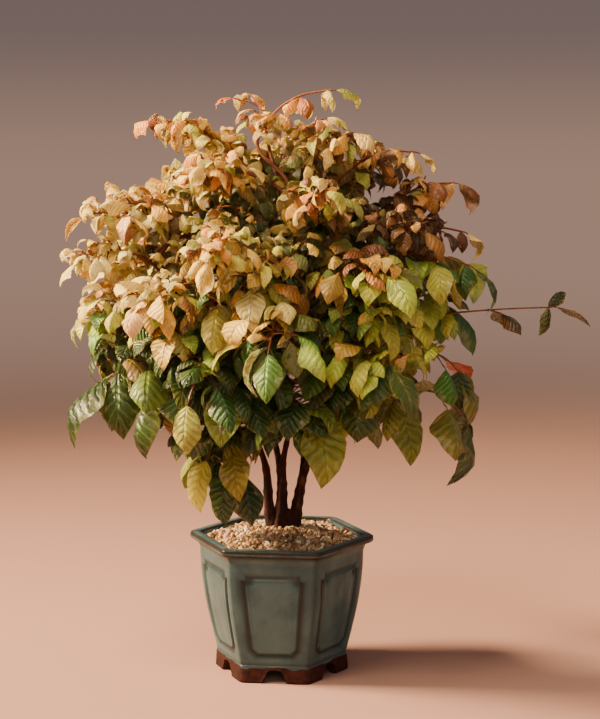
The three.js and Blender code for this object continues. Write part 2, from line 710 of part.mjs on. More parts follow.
// The faces of a blade that grows out of a stalk's last ring, whose three point numbers turn left as
// seen from the blade's tip. Each station has its two margins and its midrib's top and underside, and
// both faces of the blade are split into the same triangles.
function addBlade(points, faces, ring, leaflet) {
  const { across, facing } = bladeFrame(leaflet, 0);
  const middle = points[ring[0]].clone().lerp(points[ring[1]], 0.5);
  const wanted = stalkRing(middle, across, facing, STALK.thick);
  const misfit = (turn) =>
    wanted.reduce((sum, at, i) => sum + at.distanceTo(points[ring[(i + turn) % 3]]), 0);
  const turn = [0, 1, 2].reduce((best, k) => (misfit(k) < misfit(best) ? k : best));
  const [left, right, under] = [0, 1, 2].map((i) => ring[(i + turn) % 3]);
  const lift = LEAFLET.thick / 2;
  const [a, b] = BLADE_STATIONS.map((u) => {
    const first = points.length;
    const corners = [[1, 0], [0, lift], [-1, 0], [0, -lift]];
    for (const [v, up] of corners) points.push(bladePoint(leaflet, u, v, up));
    return corners.map((_, i) => first + i);
  });
  faces.push([left, a[1], a[0]], [left, right, a[1]], [right, a[2], a[1]]);
  faces.push([right, under, a[2]], [under, a[3], a[2]], [under, left, a[3]], [left, a[0], a[3]]);
  faces.push([a[0], a[1], b[0]], [a[1], b[1], b[0]], [a[1], a[2], b[2]], [a[1], b[2], b[1]]);
  faces.push([a[2], a[3], b[2]], [a[3], b[3], b[2]], [a[3], a[0], b[0]], [a[3], b[0], b[3]]);
  const tip = points.push(bladePoint(leaflet, 1, 0)) - 1;
  b.forEach((from, i) => faces.push([from, b[(i + 1) % 4], tip]));
}

// The point that lies `length` from `at` in the direction in which a leaflet starts.
function footOf({ heading, pitch }, at, length) {
  return at.clone().addScaledVector(direction(heading, pitch), length);
}

// A stalk through the given points, each with its radius, and perhaps a blade at either end. Its flat
// start faces along `aim` where that is given.
function strand(spine, radii, first, last, aim) {
  const points = [];
  const faces = [];
  const onward = (at, leaflet) => (leaflet ? footOf(leaflet, at, 1) : at);
  const anchor = last || first;
  let { across } = anchor ? bladeFrame(anchor, 0) : { across: new THREE.Vector3(0, 1, 0) };
  const rings = [];
  for (let i = spine.length - 1; i >= 0; i--) {
    const ahead = i + 1 < spine.length ? spine[i + 1] : onward(spine[i], last);
    const behind = i > 0 ? spine[i - 1] : onward(spine[i], first);
    const along = i === 0 && aim ? aim : ahead.clone().sub(behind).normalize();
    across = across.clone().addScaledVector(along, -along.dot(across)).normalize();
    const start = points.length;
    points.push(...stalkRing(spine[i], across, along.clone().cross(across), radii[i]));
    rings.unshift([start, start + 1, start + 2]);
  }
  for (let i = 0; i + 1 < rings.length; i++)
    for (let k = 0; k < 3; k++) {
      const [low, high, next] = [rings[i], rings[i + 1], (k + 1) % 3];
      faces.push([low[k], low[next], high[next], high[k]]);
    }
  const [start, end] = [[...rings[0]].reverse(), rings[rings.length - 1]];
  if (first) addBlade(points, faces, start, first);
  else faces.push(start);
  if (last) addBlade(points, faces, end, last);
  else faces.push(end);
  return solidOf(faceted(points, faces));
}

// One compound leaf: its stalk runs on into the leaflet at its tip, the two side stalks are one piece
// from leaflet to leaflet, and so are the two leaflets that face each other in each group of three.
function makeLeaf(leaf) {
  const [end, left, right] = leaf.groups;
  const { thick, waist } = STALK;
  const parts = [
    strand(
      [...leaf.rings.map((ring) => ring.at), end.seat],
      [...RACHIS.radii, thick],
      null,
      end.middle,
      direction(leaf.heading, leaf.rise),
    ),
    strand([left.seat, left.from, right.seat], [thick, waist, thick], left.middle, right.middle),
  ];
  for (const { at, left: one, right: other } of leaf.groups) {
    if (!one && !other) continue;
    const spine = [one, other].map((leaflet) =>
      leaflet ? footOf(leaflet, at, FOOTSTALK.length) : at.clone(),
    );
    const middle = spine[0].clone().lerp(spine[1], 0.5);
    if (one && other) spine.forEach((point) => point.add(at).sub(middle)); // so that it runs through `at`
    parts.push(strand(spine, [FOOTSTALK.thick, FOOTSTALK.thick], one, other));
  }
  return mainBody(wasm.Manifold.union(parts));
}

// Which colour a leaf has come to: new growth is cream on the lit left and bronze on the right, and
// older leaves below are yellow-green and deep green.
function colourOf(leaf) {
  const { x, z } = leaf.rings[RACHIS.steps].at;
  const { top, left, leftEdge, shade } = NEW_GROWTH;
  if (z > top || (z > left && x < leftEdge)) return x < shade ? COLOURS.cream : COLOURS.bronze;
  return z > OLD_GROWTH ? COLOURS.yellow : COLOURS.green;
}

// Assembly.

const bonsai = new THREE.Group();
const leaves = grow();
bonsai.add(
  meshOf("pot", makePot(), COLOURS.glaze, 0.35),
  meshOf("drainage_mesh", makeMesh(), COLOURS.plastic, 0.8),
  meshOf("potting_soil", makeSoil(), COLOURS.soil, 0.95),
  meshOf("gravel_top_dressing", makeGravel(), COLOURS.gravel, 0.9),
  meshOf("cane_clump", makeCaneClump(leaves), COLOURS.bark, 0.8),
);
leaves.forEach((leaf, i) => {
  const name = `compound_leaf_${String(i + 1).padStart(2, "0")}`;
  bonsai.add(meshOf(name, makeLeaf(leaf), colourOf(leaf), 0.45));
});

const bounds = new THREE.Box3().setFromObject(bonsai);
const middle = bounds.getCenter(new THREE.Vector3());
bonsai.position.set(-middle.x, -middle.y, 0);

export default bonsai;
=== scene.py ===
"""Heavenly bamboo bonsai in a six-sided glazed pot.

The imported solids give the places. This script repeats their growth rule, draws every leaflet, stalk
and cane as a fine surface, adds the leaflets that the solids leave out, and dresses pot, grit and wood.
Sizes of the plant and the pot are in millimetres from the pot's axis, and become metres in the meshes.
"""

import logging
import math
from collections.abc import Sequence
from dataclasses import dataclass, field, replace
from enum import Enum

import bpy
import numpy as np
from mathutils import Euler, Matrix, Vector


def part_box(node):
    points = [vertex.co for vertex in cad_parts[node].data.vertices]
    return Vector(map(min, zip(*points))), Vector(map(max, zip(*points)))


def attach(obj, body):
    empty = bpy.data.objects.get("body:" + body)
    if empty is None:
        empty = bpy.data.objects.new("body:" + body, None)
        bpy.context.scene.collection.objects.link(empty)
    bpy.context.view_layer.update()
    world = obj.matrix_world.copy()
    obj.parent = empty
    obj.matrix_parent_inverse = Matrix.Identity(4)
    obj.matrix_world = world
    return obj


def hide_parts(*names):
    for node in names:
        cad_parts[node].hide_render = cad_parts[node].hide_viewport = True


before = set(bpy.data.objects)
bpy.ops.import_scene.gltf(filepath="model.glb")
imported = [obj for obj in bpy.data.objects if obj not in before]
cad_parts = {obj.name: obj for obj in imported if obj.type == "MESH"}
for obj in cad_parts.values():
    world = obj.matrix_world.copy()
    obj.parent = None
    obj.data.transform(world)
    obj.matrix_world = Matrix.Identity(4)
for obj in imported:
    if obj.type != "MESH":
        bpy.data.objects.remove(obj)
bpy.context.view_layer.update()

MM = 0.001
DEG = math.pi / 180
LOG = logging.getLogger("bonsai")
Array = np.ndarray
Material = bpy.types.Material
Socket = bpy.types.NodeSocket


# Numbers and curves.


class Draw:
    """A seeded draw of numbers from 0 to 1: the same plant grows every time."""

    WORD = 0xFFFFFFFF
    STEP = 0x6D2B79F5

    def __init__(self, seed: int) -> None:
        """Starts the draw from a seed."""
        self.state = seed & self.WORD

    def number(self) -> float:
        """The next number: the state goes on by a step, and shifts and products mix it.

        Returns:
            A number from 0 up to 1.
        """
        self.state = (self.state + self.STEP) & self.WORD
        mixed = self.state
        mixed = ((mixed ^ (mixed >> 15)) * (mixed | 1)) & self.WORD
        mixed ^= (mixed + (((mixed ^ (mixed >> 7)) * (mixed | 61)) & self.WORD)) & self.WORD
        return ((mixed ^ (mixed >> 14)) & self.WORD) / (self.WORD + 1)

    def about(self, amount: float) -> float:
        """The next number from -amount to amount."""
        return amount * (2 * self.number() - 1)


def direction(heading: float, pitch: float) -> Array:
    """The unit vector of a heading (from +X towards +Y) and a pitch above level, both in degrees."""
    h, p = heading * DEG, pitch * DEG
    return np.array([math.cos(p) * math.cos(h), math.cos(p) * math.sin(h), math.sin(p)])


def unit(vectors: Array) -> Array:
    """The vectors scaled to length 1."""
    return vectors / np.maximum(np.linalg.norm(vectors, axis=-1, keepdims=True), 1e-12)


def through(points: Array, t: Array) -> Array:
    """Points of a smooth curve through all the given points.

    Between two points the curve is the cubic whose slope at each of them is half the step from the
    point before it to the point after it.

    Args:
        points: the points that the curve passes, one row each.
        t: places along the curve, from 0 to 1.

    Returns:
        One row for each place.
    """
    last = len(points) - 1
    t = np.atleast_1d(t)
    span = np.minimum(np.floor(t * last).astype(int), last - 1)
    s = (t * last - span)[:, None]
    a, b, c, d = (points[np.clip(span + i, 0, last)] for i in (-1, 0, 1, 2))
    first = (-s + 2 * s**2 - s**3) * a + (2 - 5 * s**2 + 3 * s**3) * b
    return (first + (s + 4 * s**2 - 3 * s**3) * c + (s**3 - s**2) * d) / 2


def bezier(points: Array, t: Array) -> Array:
    """Points of the cubic curve that four control points give.

    Args:
        points: the control points, one row each.
        t: places along the curve, from 0 to 1.

    Returns:
        One row for each place.
    """
    t = np.atleast_1d(t)[:, None]
    first = (1 - t) ** 3 * points[0] + 3 * t * (1 - t) ** 2 * points[1]
    return first + 3 * t * t * (1 - t) * points[2] + t**3 * points[3]


def steps_to(start: Array, end: Array, count: int) -> Array:
    """Points that go from one point to another in even steps, without the first point itself."""
    return start + (end - start) * (np.arange(1, count + 1) / count)[:, None]


def smoothstep(low: float, high: float, value: Array) -> Array:
    """0 below low, 1 above high, and a smooth ramp between them."""
    share = np.clip((value - low) / (high - low), 0, 1)
    return share * share * (3 - 2 * share)


def bell(value: Array, middle: Array, wide: float) -> Array:
    """A bell curve, 1 at its middle: e to the power of minus the squared distance over its width."""
    return np.exp(-(((value - middle) / wide) ** 2))


def linear(colours: int | Sequence[int]) -> Array:
    """Colours written as 0xRRGGBB, in the linear values that a shader takes."""
    parts = ((np.array(colours)[..., None] >> np.array([16, 8, 0])) & 255) / 255
    return np.where(parts <= 0.04045, parts / 12.92, ((parts + 0.055) / 1.055) ** 2.4)


# Surfaces.


@dataclass
class Surface:
    """Points and faces of one closed surface, or of many alike, with the paint of each point.

    Attributes:
        points: one row for each point, in metres.
        quads: four point numbers for each four-sided face.
        triangles: three point numbers for each three-sided face.
        uv: place along and across the form, from 0 to 1.
        tint: the point's own colour, as red, green, blue and 1.
        mark: four shares from 0 to 1 that a finish reads.
        finish: the number of the material that the faces take.
    """

    points: Array
    quads: Array
    triangles: Array
    uv: Array
    tint: Array = field(default_factory=lambda: np.ones((0, 4)))
    mark: Array = field(default_factory=lambda: np.zeros((0, 4)))
    finish: int = 0

    def painted(self, tint: Array, mark: Array = (0.0, 0.0, 0.0, 0.0), finish: int = 0) -> "Surface":
        """The same surface, painted.

        Args:
            tint: red, green and blue, for each point or for all alike.
            mark: four shares, for each point or for all alike.
            finish: the number of its material.

        Returns:
            The painted surface.
        """
        tints = np.ones((len(self.points), 4))
        tints[:, :3] = tint
        return replace(self, tint=tints, mark=np.broadcast_to(mark, tints.shape), finish=finish)


def joined(surfaces: list[Surface]) -> tuple[Surface, Array]:
    """Puts surfaces together as they are.

    Args:
        surfaces: the surfaces, each painted.

    Returns:
        One surface, and the material number of each of its faces, quads first.
    """
    starts = np.cumsum([0] + [len(s.points) for s in surfaces[:-1]])
    parts, finishes = {}, []
    for name in ("points", "uv", "tint", "mark"):
        parts[name] = np.concatenate([getattr(s, name) for s in surfaces])
    for name in ("quads", "triangles"):
        parts[name] = np.concatenate([getattr(s, name) + start for s, start in zip(surfaces, starts)])
        finishes += [np.full(len(getattr(s, name)), s.finish) for s in surfaces]
    return Surface(**parts), np.concatenate(finishes)


def loft(rings: Array, first: Array, last: Array) -> Surface:
    """Closed surfaces along rings of points, each ended by a pole.

    A ring's points turn left as seen from the end of the form, so the faces point outwards.

    Args:
        rings: points in millimetres, as form, station, place on the ring, and x, y and z.
        first: the pole before the first ring of each form.
        last: the pole after the last ring of each form.

    Returns:
        One surface that holds all the forms.
    """
    count, stations, around = rings.shape[:3]
    points = np.concatenate([rings.reshape(count, -1, 3), first[:, None], last[:, None]], axis=1)
    low = np.arange(stations - 1)[:, None] * around
    here, onward = np.arange(around), (np.arange(around) + 1) % around
    quads = np.stack([low + here, low + onward, low + around + onward, low + around + here], -1)
    top = (stations - 1) * around
    poles = np.full(around, stations * around)
    fans = np.concatenate(
        [np.stack([poles, onward, here], -1), np.stack([poles + 1, top + here, top + onward], -1)]
    )
    offset = (np.arange(count) * points.shape[1])[:, None, None]
    along = np.repeat(np.linspace(0, 1, stations), around)
    aside = np.tile(here / around, stations)
    uv = np.stack([np.append(along, [0, 1]), np.append(aside, [0.5, 0.5])], -1)
    return Surface(
        points=points.reshape(-1, 3) * MM,
        quads=(quads.reshape(-1, 4)[None] + offset).reshape(-1, 4),
        triangles=(fans[None] + offset).reshape(-1, 3),
        uv=np.tile(uv, (count, 1)),
    )


def ring_surface(grid: Array) -> Surface:
    """A surface that closes on itself both ways.

    Args:
        grid: points in millimetres, as row, column, and xyz. The rows run round the section to the
            left as seen along the columns, so the faces point outwards.

    Returns:
        The surface.
    """
    rows, columns = grid.shape[:2]
    row, column = np.meshgrid(np.arange(rows), np.arange(columns), indexing="ij")
    up, right = (row + 1) % rows, (column + 1) % columns
    corners = [row * columns + column, row * columns + right, up * columns + right, up * columns + column]
    return Surface(
        points=grid.reshape(-1, 3) * MM,
        quads=np.stack(corners, -1).reshape(-1, 4),
        triangles=np.zeros((0, 3), int),
        uv=np.stack([column / columns, row / rows], -1).reshape(-1, 2),
    )


def tube(path: Array, radii: Array, aside: tuple[float, float, float], sides: int) -> Surface:
    """Round tubes along paths: each ring is a circle of the local radius, square to the path.

    Args:
        path: points in millimetres, as tube, station, and x, y and z.
        radii: the radius at each station of each tube.
        aside: a direction that no path takes.
        sides: points round each ring.

    Returns:
        One surface that holds all the tubes.
    """
    along = unit(np.gradient(path, axis=1))
    across = unit(aside - (aside * along).sum(-1, keepdims=True) * along)
    upward = np.cross(along, across)
    angle = 2 * np.pi * np.arange(sides) / sides
    spokes = across[:, :, None] * np.cos(angle)[:, None] + upward[:, :, None] * np.sin(angle)[:, None]
    rings = path[:, :, None] + radii[:, :, None, None] * spokes
    return loft(rings, path[:, 0], path[:, -1])


def make_piece(
    name: str, surfaces: list[Surface], materials: list[Material], sharp: float
) -> bpy.types.Object:
    """Makes one Blender object from painted surfaces.

    Args:
        name: the object's name.
        surfaces: its surfaces, moved from the pot's axis to their place here.
        materials: the materials that the surfaces' finish numbers count through.
        sharp: faces that meet at more than this many degrees keep a sharp edge between them.

    Returns:
        The object, which stands at the origin with its place in its mesh.
    """
    whole, finishes = joined(surfaces)
    mesh = bpy.data.meshes.new(name)
    loops = np.concatenate([whole.quads.ravel(), whole.triangles.ravel()]).astype(np.int32)
    sizes = np.concatenate([np.full(len(whole.quads), 4), np.full(len(whole.triangles), 3)])
    mesh.vertices.add(len(whole.points))
    mesh.vertices.foreach_set("co", (whole.points + POT_AXIS).astype(np.float32).ravel())
    mesh.loops.add(len(loops))
    mesh.loops.foreach_set("vertex_index", loops)
    mesh.polygons.add(len(sizes))
    mesh.polygons.foreach_set("loop_start", (np.cumsum(sizes) - sizes).astype(np.int32))
    mesh.polygons.foreach_set("material_index", finishes.astype(np.int32))
    mesh.update(calc_edges=True)
    layer = mesh.uv_layers.new(name="place")
    layer.data.foreach_set("uv", whole.uv[loops].astype(np.float32).ravel())
    for label, values in (("tint", whole.tint), ("mark", whole.mark)):
        attribute = mesh.attributes.new(label, "FLOAT_COLOR", "POINT")
        attribute.data.foreach_set("color", values.astype(np.float32).ravel())
    for material in materials:
        mesh.materials.append(material)
    mesh.shade_smooth()
    mesh.set_sharp_from_angle(angle=sharp * DEG)
    piece = bpy.data.objects.new(name, mesh)
    bpy.context.scene.collection.objects.link(piece)
    LOG.info("%s: %d points, %d faces", name, len(whole.points), len(sizes))
    return piece


def pot_axis() -> Array:
    """The foot of the pot's axis in the row frame, in metres: the middle of the pot's own box."""
    low, high = np.array(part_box("pot"))
    return (low + high) / 2 * [1, 1, 0]


POT_AXIS = pot_axis()


# Finishes.


class NodeBench:
    """Makes the nodes of a material or a world and links them."""

    def __init__(self, owner: Material | bpy.types.World, shader: str = "Principled BSDF") -> None:
        """Starts with the shader that a new material or world comes with.

        Args:
            owner: the material or world.
            shader: the shader's name.
        """
        owner.use_nodes = True
        self.owner, self.tree = owner, owner.node_tree
        self.shader = self.tree.nodes[shader]

    def put(self, socket: Socket, value: object) -> None:
        """Links a socket, or sets its value.

        Args:
            socket: an input.
            value: the output to link to it, or its number, colour or vector.
        """
        if isinstance(value, Socket):
            self.tree.links.new(value, socket)
        else:
            socket.default_value = tuple(value) if np.ndim(value) else value

    def node(self, kind: str, inputs: dict[int | str, object], **settings: object) -> bpy.types.NodeOutputs:
        """Adds a node.

        Args:
            kind: its type, without the words that every shader node's type starts with.
            inputs: what goes into its inputs, by name or number.
            **settings: its own settings.

        Returns:
            Its outputs.
        """
        node = self.tree.nodes.new("ShaderNode" + kind)
        for name, value in settings.items():
            setattr(node, name, value)
        for key, value in inputs.items():
            self.put(node.inputs[key], value)
        return node.outputs

    def attribute(self, name: str) -> Socket:
        """A painted value of the points."""
        return self.node("Attribute", {}, attribute_name=name)["Color"]

    def place(self, stretch: tuple[float, float, float] = (1, 1, 1)) -> Socket:
        """The object's own coordinates, stretched."""
        where = self.node("TexCoord", {})["Object"]
        return self.node("Mapping", {"Vector": where, "Scale": stretch})["Vector"]

    def noise(
        self, scale: float, detail: float = 3, where: Socket | None = None, rough: float = 0.5
    ) -> Socket:
        """A cloud pattern from 0 to 1, `scale` clouds to a metre."""
        clouds = {"Vector": where or self.place(), "Scale": scale, "Detail": detail, "Roughness": rough}
        return self.node("TexNoise", clouds)["Fac"]

    def math(self, operation: str, first: object, second: object = 0.0) -> Socket:
        """One sum of two values."""
        return self.node("Math", {0: first, 1: second}, operation=operation)[0]

    def times(self, first: object, second: object) -> Socket:
        """The product of two values."""
        return self.math("MULTIPLY", first, second)

    def plus(self, first: object, second: object) -> Socket:
        """The sum of two values."""
        return self.math("ADD", first, second)

    def less(self, first: object, second: object) -> Socket:
        """The first value less the second."""
        return self.math("SUBTRACT", first, second)

    def ramp(self, value: Socket, low: float, high: float, start: float = 0, end: float = 1) -> Socket:
        """A smooth ramp from start, at low, to end, at high."""
        inputs = dict(enumerate((value, low, high, start, end)))
        return self.node("MapRange", inputs, interpolation_type="SMOOTHSTEP")[0]

    @staticmethod
    def colour(value: object) -> object:
        """A colour as a socket takes it, from a socket, from 0xRRGGBB, or from red, green and blue."""
        value = linear(value) if isinstance(value, int) else value
        return value if isinstance(value, Socket) else (*value, 1.0)

    def mix(self, share: object, first: object, second: object, blend: str = "MIX") -> Socket:
        """A mix of two colours."""
        inputs = {0: share, 6: self.colour(first), 7: self.colour(second)}
        return self.node("Mix", inputs, data_type="RGBA", blend_type=blend)[2]

    def shaded(self, colour: Socket, shade: tuple[float, float, float]) -> Socket:
        """A colour times a shade."""
        return self.mix(1.0, colour, shade, "MULTIPLY")

    def split(self, colour: Socket) -> list[Socket]:
        """The three parts of a colour or vector."""
        return list(self.node("SeparateXYZ", {0: colour}))

    def bump(self, height: Socket, depth: float, strength: float = 1.0) -> None:
        """Raises the surface by a pattern, `depth` metres for 1, and gives it to the shader."""
        inputs = {"Strength": strength, "Distance": depth, "Height": height}
        self.put(self.shader.inputs["Normal"], self.node("Bump", inputs)["Normal"])

    def finished(self, **sockets: object) -> Material | bpy.types.World:
        """Sets the shader's sockets.

        Args:
            **sockets: their values, named with underscores for spaces.

        Returns:
            The material or world.
        """
        for name, value in sockets.items():
            self.put(self.shader.inputs[name.replace("_", " ")], value)
        return self.owner


@dataclass(frozen=True)
class LeafFinish:
    """A leaflet's finish: its own colour, veins from its midrib to its margin, quilting between, painted
    shade in its creases and painted highlight on its raised cells.

    Attributes:
        name: the material's name.
        vein: how far the veins are paler than the blade, from 0 to 1.
        quilt: how far the blade stands up between its veins, in metres.
        roughness: of its wax.
        glow: share of the light that passes into the blade.
        flush: colour that stains it in blotches and along its margin.
        stain: how much of it is stained, from 0 to 1.
        cell_shade_and_highlight: painted shade in the creases between its raised cells and painted highlight
            on them, from 0 to 1.
    """

    name: str
    vein: float
    quilt: float
    roughness: float
    glow: float
    flush: int
    stain: float
    cell_shade_and_highlight: float

    VEIN_PAIRS = 7
    VEIN_SLANT = 0.2

    def material(self) -> Material:
        """The finish as a material: it reads the leaflet's uv, tint and mark.

        The place along the blade, less a slant towards the margin and with a slight wander, is
        counted in vein pairs, so that `between` is 0 on a vein and a half midway to the next.

        Returns:
            The material.
        """
        bench = NodeBench(bpy.data.materials.new(self.name))
        along, across, _ = bench.split(bench.node("UVMap", {})["UV"])
        under, _, _ = bench.split(bench.attribute("mark"))
        aside = bench.math("ABSOLUTE", bench.less(bench.times(across, 2), 1))
        slant = bench.times(aside, -self.VEIN_SLANT)
        wander = bench.times(bench.noise(150, 2), 0.12)
        phase = bench.times(bench.plus(bench.plus(along, wander), slant), self.VEIN_PAIRS)
        between = bench.math("PINGPONG", phase, 0.5)
        veins = bench.times(bench.ramp(between, 0.02, 0.13, 1, 0), bench.ramp(aside, 0.95, 0.6))
        midrib = bench.ramp(aside, 0.03, 0.12, 1, 0)
        lines = bench.math("MAXIMUM", veins, midrib)
        colour = bench.attribute("tint")
        cloud = bench.noise(130, 3)
        shade = bench.shaded(colour, (0.62, 0.6, 0.5))
        colour = bench.mix(bench.ramp(cloud, 0.35, 0.75, 0.0, 0.8), colour, shade)
        blotch = bench.plus(bench.noise(55, 3), bench.ramp(aside, 0.55, 1.0, 0, 0.35))
        stained = bench.ramp(blotch, 0.78 - 0.4 * self.stain, 1.0, 0, self.stain)
        colour = bench.mix(stained, colour, self.flush)
        colour = bench.mix(bench.times(lines, self.vein), colour, bench.mix(0.4, colour, (0.9, 0.86, 0.5)))
        # Painted shade darkens the creases between the raised cells, and painted highlight lightens their
        # tops.
        crease = bench.times(bench.ramp(between, 0.0, 0.3, 1, 0), self.cell_shade_and_highlight)
        colour = bench.mix(crease, colour, bench.shaded(colour, (0.4, 0.4, 0.32)))
        crown = bench.times(bench.ramp(between, 0.3, 0.5), self.cell_shade_and_highlight * 0.35)
        colour = bench.mix(crown, colour, bench.mix(0.4, colour, (0.95, 0.9, 0.55)))
        dull = bench.mix(0.35, colour, (0.55, 0.55, 0.42))
        colour = bench.mix(bench.times(under, 0.6), colour, dull)
        pillow = bench.times(bench.math("SQRT", bench.times(between, 2)), 0.8)
        grain = bench.times(bench.noise(900, 2), 0.18)
        bench.bump(bench.less(bench.plus(pillow, grain), bench.times(midrib, 0.7)), self.quilt, 0.8)
        return bench.finished(
            Base_Color=colour,
            Roughness=bench.ramp(cloud, 0.3, 0.8, self.roughness - 0.06, self.roughness + 0.1),
            Subsurface_Weight=self.glow,
            Subsurface_Radius=(0.004, 0.003, 0.0015),
            Subsurface_Scale=1.0,
            Specular_IOR_Level=0.32,
        )


@dataclass(frozen=True)
class StalkFinish:
    """A green or red-flushed stalk, with fine lines along it."""

    name: str = "leaf_stalk"
    flush: int = 0x7A3A24

    def material(self) -> Material:
        """The finish as a material.

        Returns:
            The material, which reads the tint.
        """
        bench = NodeBench(bpy.data.materials.new(self.name))
        blotch = bench.ramp(bench.noise(90, 3), 0.35, 0.7, 0, 0.8)
        bench.bump(bench.noise(1500, 2, bench.place((1, 1, 0.2))), 0.0002)
        colour = bench.mix(blotch, bench.attribute("tint"), self.flush)
        return bench.finished(Base_Color=colour, Roughness=0.5, Subsurface_Weight=0.1)


@dataclass(frozen=True)
class BarkFinish:
    """Furrowed bark: dark red-brown ridges with paler, greyer plates, drawn out along the canes."""

    name: str = "cane_bark"
    dark: int = 0x1C0C08
    mid: int = 0x3C1D13
    pale: int = 0x6E4A38
    young: int = 0x6B3A22

    def material(self) -> Material:
        """The finish as a material.

        Returns:
            The material, in which the mark's first share says how young the wood is.
        """
        bench = NodeBench(bpy.data.materials.new(self.name))
        furrows = bench.noise(520, 5, bench.place((1, 1, 0.16)), 0.7)
        plates = bench.noise(170, 3, bench.place((1, 1, 0.45)))
        fresh, _, _ = bench.split(bench.attribute("mark"))
        colour = bench.mix(bench.ramp(furrows, 0.35, 0.62), self.dark, self.mid)
        colour = bench.mix(bench.ramp(plates, 0.52, 0.75, 0, 0.7), colour, self.pale)
        colour = bench.mix(fresh, colour, self.young)
        bench.bump(bench.plus(furrows, bench.times(plates, 0.6)), 0.0012)
        return bench.finished(Base_Color=colour, Roughness=0.82, Specular_IOR_Level=0.25)


@dataclass(frozen=True)
class GritFinish:
    """Dry mineral grit, each grain with its own colour."""

    name: str = "grit"
    shade: tuple[float, float, float] = (0.45, 0.4, 0.36)

    def material(self) -> Material:
        """The finish as a material.

        Returns:
            The material, which reads the tint.
        """
        bench = NodeBench(bpy.data.materials.new(self.name))
        speckle = bench.noise(1400, 3)
        tint = bench.attribute("tint")
        colour = bench.mix(bench.ramp(speckle, 0.4, 0.7, 0, 0.6), tint, bench.shaded(tint, self.shade))
        bench.bump(speckle, 0.0003)
        return bench.finished(Base_Color=colour, Roughness=0.88, Specular_IOR_Level=0.3)


@dataclass(frozen=True)
class GlazeFinish:
    """Grey-green glaze over red clay.

    It breaks to brown where it runs thin on edges and pools dark in grooves, with soft mottling and
    drips; the same dark colour is painted as shade under the lip. Where `mark` says bare, the red clay shows.
    """

    name: str = "pot_glaze"
    body: int = 0x486466
    light: int = 0x5A7474
    deep: int = 0x365054
    brown: int = 0x2A1C0C
    pool_and_shade: int = 0x1A1712
    clay: int = 0x3E180E
    clay_dark: int = 0x200C08

    def material(self) -> Material:
        """The finish as a material.

        Returns:
            The material, in which the mark says how thin the glaze is, where it pools dark in grooves and
            where shade under the lip is painted dark, and how bare it is.
        """
        bench = NodeBench(bpy.data.materials.new(self.name))
        thin, pooled_and_shaded, bare = bench.split(bench.attribute("mark"))
        cloud = bench.noise(30, 4, rough=0.6)
        drip = bench.noise(60, 3, bench.place((1, 1, 0.15)))
        speck = bench.noise(900, 2)
        colour = bench.mix(bench.ramp(cloud, 0.38, 0.66), self.deep, self.body)
        colour = bench.mix(bench.ramp(drip, 0.52, 0.8, 0, 0.4), colour, self.light)
        uneven = bench.times(bench.less(bench.noise(110, 4, rough=0.7), 0.5), 1.1)
        broken = bench.plus(thin, bench.times(uneven, bench.ramp(thin, 0.02, 0.4)))
        colour = bench.mix(bench.ramp(broken, 0.25, 0.85, 0, 0.92), colour, self.brown)
        # The dark colour of glaze pooled in grooves, also painted as shade under the lip.
        colour = bench.mix(pooled_and_shaded, colour, self.pool_and_shade)
        colour = bench.mix(bench.ramp(speck, 0.66, 0.74, 0, 0.4), colour, self.brown)
        wobble = bench.times(bench.less(bench.noise(60, 3), 0.5), 1.6)
        raw = bench.ramp(bench.plus(bare, wobble), 0.42, 0.55)
        earth = bench.mix(bench.ramp(bench.noise(260, 4), 0.3, 0.7), self.clay_dark, self.clay)
        bench.bump(bench.plus(bench.times(cloud, 1.2), bench.times(speck, 0.12)), 0.0006)
        return bench.finished(
            Base_Color=bench.mix(raw, colour, earth),
            Roughness=bench.ramp(raw, 0.0, 1.0, 0.34, 0.85),
            Specular_IOR_Level=0.22,
            Coat_Weight=0.05,
            Coat_Roughness=0.15,
        )


@dataclass(frozen=True)
class PlainFinish:
    """A finish of two close colours in clouds, for the soil and the mesh.

    Attributes:
        name: the material's name.
        colour: the first colour.
        second: the other.
        roughness: of the surface.
        clouds: how many to a metre.
        depth: how far they are raised, in metres.
    """

    name: str
    colour: int
    second: int
    roughness: float
    clouds: float
    depth: float

    def material(self) -> Material:
        """The finish as a material.

        Returns:
            The material.
        """
        bench = NodeBench(bpy.data.materials.new(self.name))
        cloud = bench.noise(self.clouds, 4)
        bench.bump(cloud, self.depth)
        colour = bench.mix(bench.ramp(cloud, 0.3, 0.7), self.colour, self.second)
        return bench.finished(Base_Color=colour, Roughness=self.roughness)


class Tone(Enum):
    """The colour that a leaf has come to, named as its material slot."""

    CREAM = "leaf_cream"
    BRONZE = "leaf_bronze"
    YELLOW = "leaf_yellow"
    GREEN = "leaf_green"


LEAF_FINISHES = {
    Tone.CREAM: LeafFinish("leaf_cream", 0.14, 0.0007, 0.5, 0.3, 0xA86C22, 0.3, 0.26),
    Tone.BRONZE: LeafFinish("leaf_bronze", 0.12, 0.0007, 0.44, 0.2, 0x4A2210, 0.3, 0.28),
    Tone.YELLOW: LeafFinish("leaf_yellow", 0.1, 0.001, 0.42, 0.25, 0x9A6A1C, 0.15, 0.24),
    Tone.GREEN: LeafFinish("leaf_green", 0.06, 0.0013, 0.38, 0.15, 0x7C8A2C, 0.3, 0.4),
}


# Growth rule, as in the solids.


@dataclass(frozen=True)
class Cane:
    """One cane: the points it passes, and its radius at the foot."""

    thick: float
    points: tuple[tuple[float, float, float], ...]

    def curve(self) -> Array:
        """The points as an array."""
        return np.array(self.points, float)


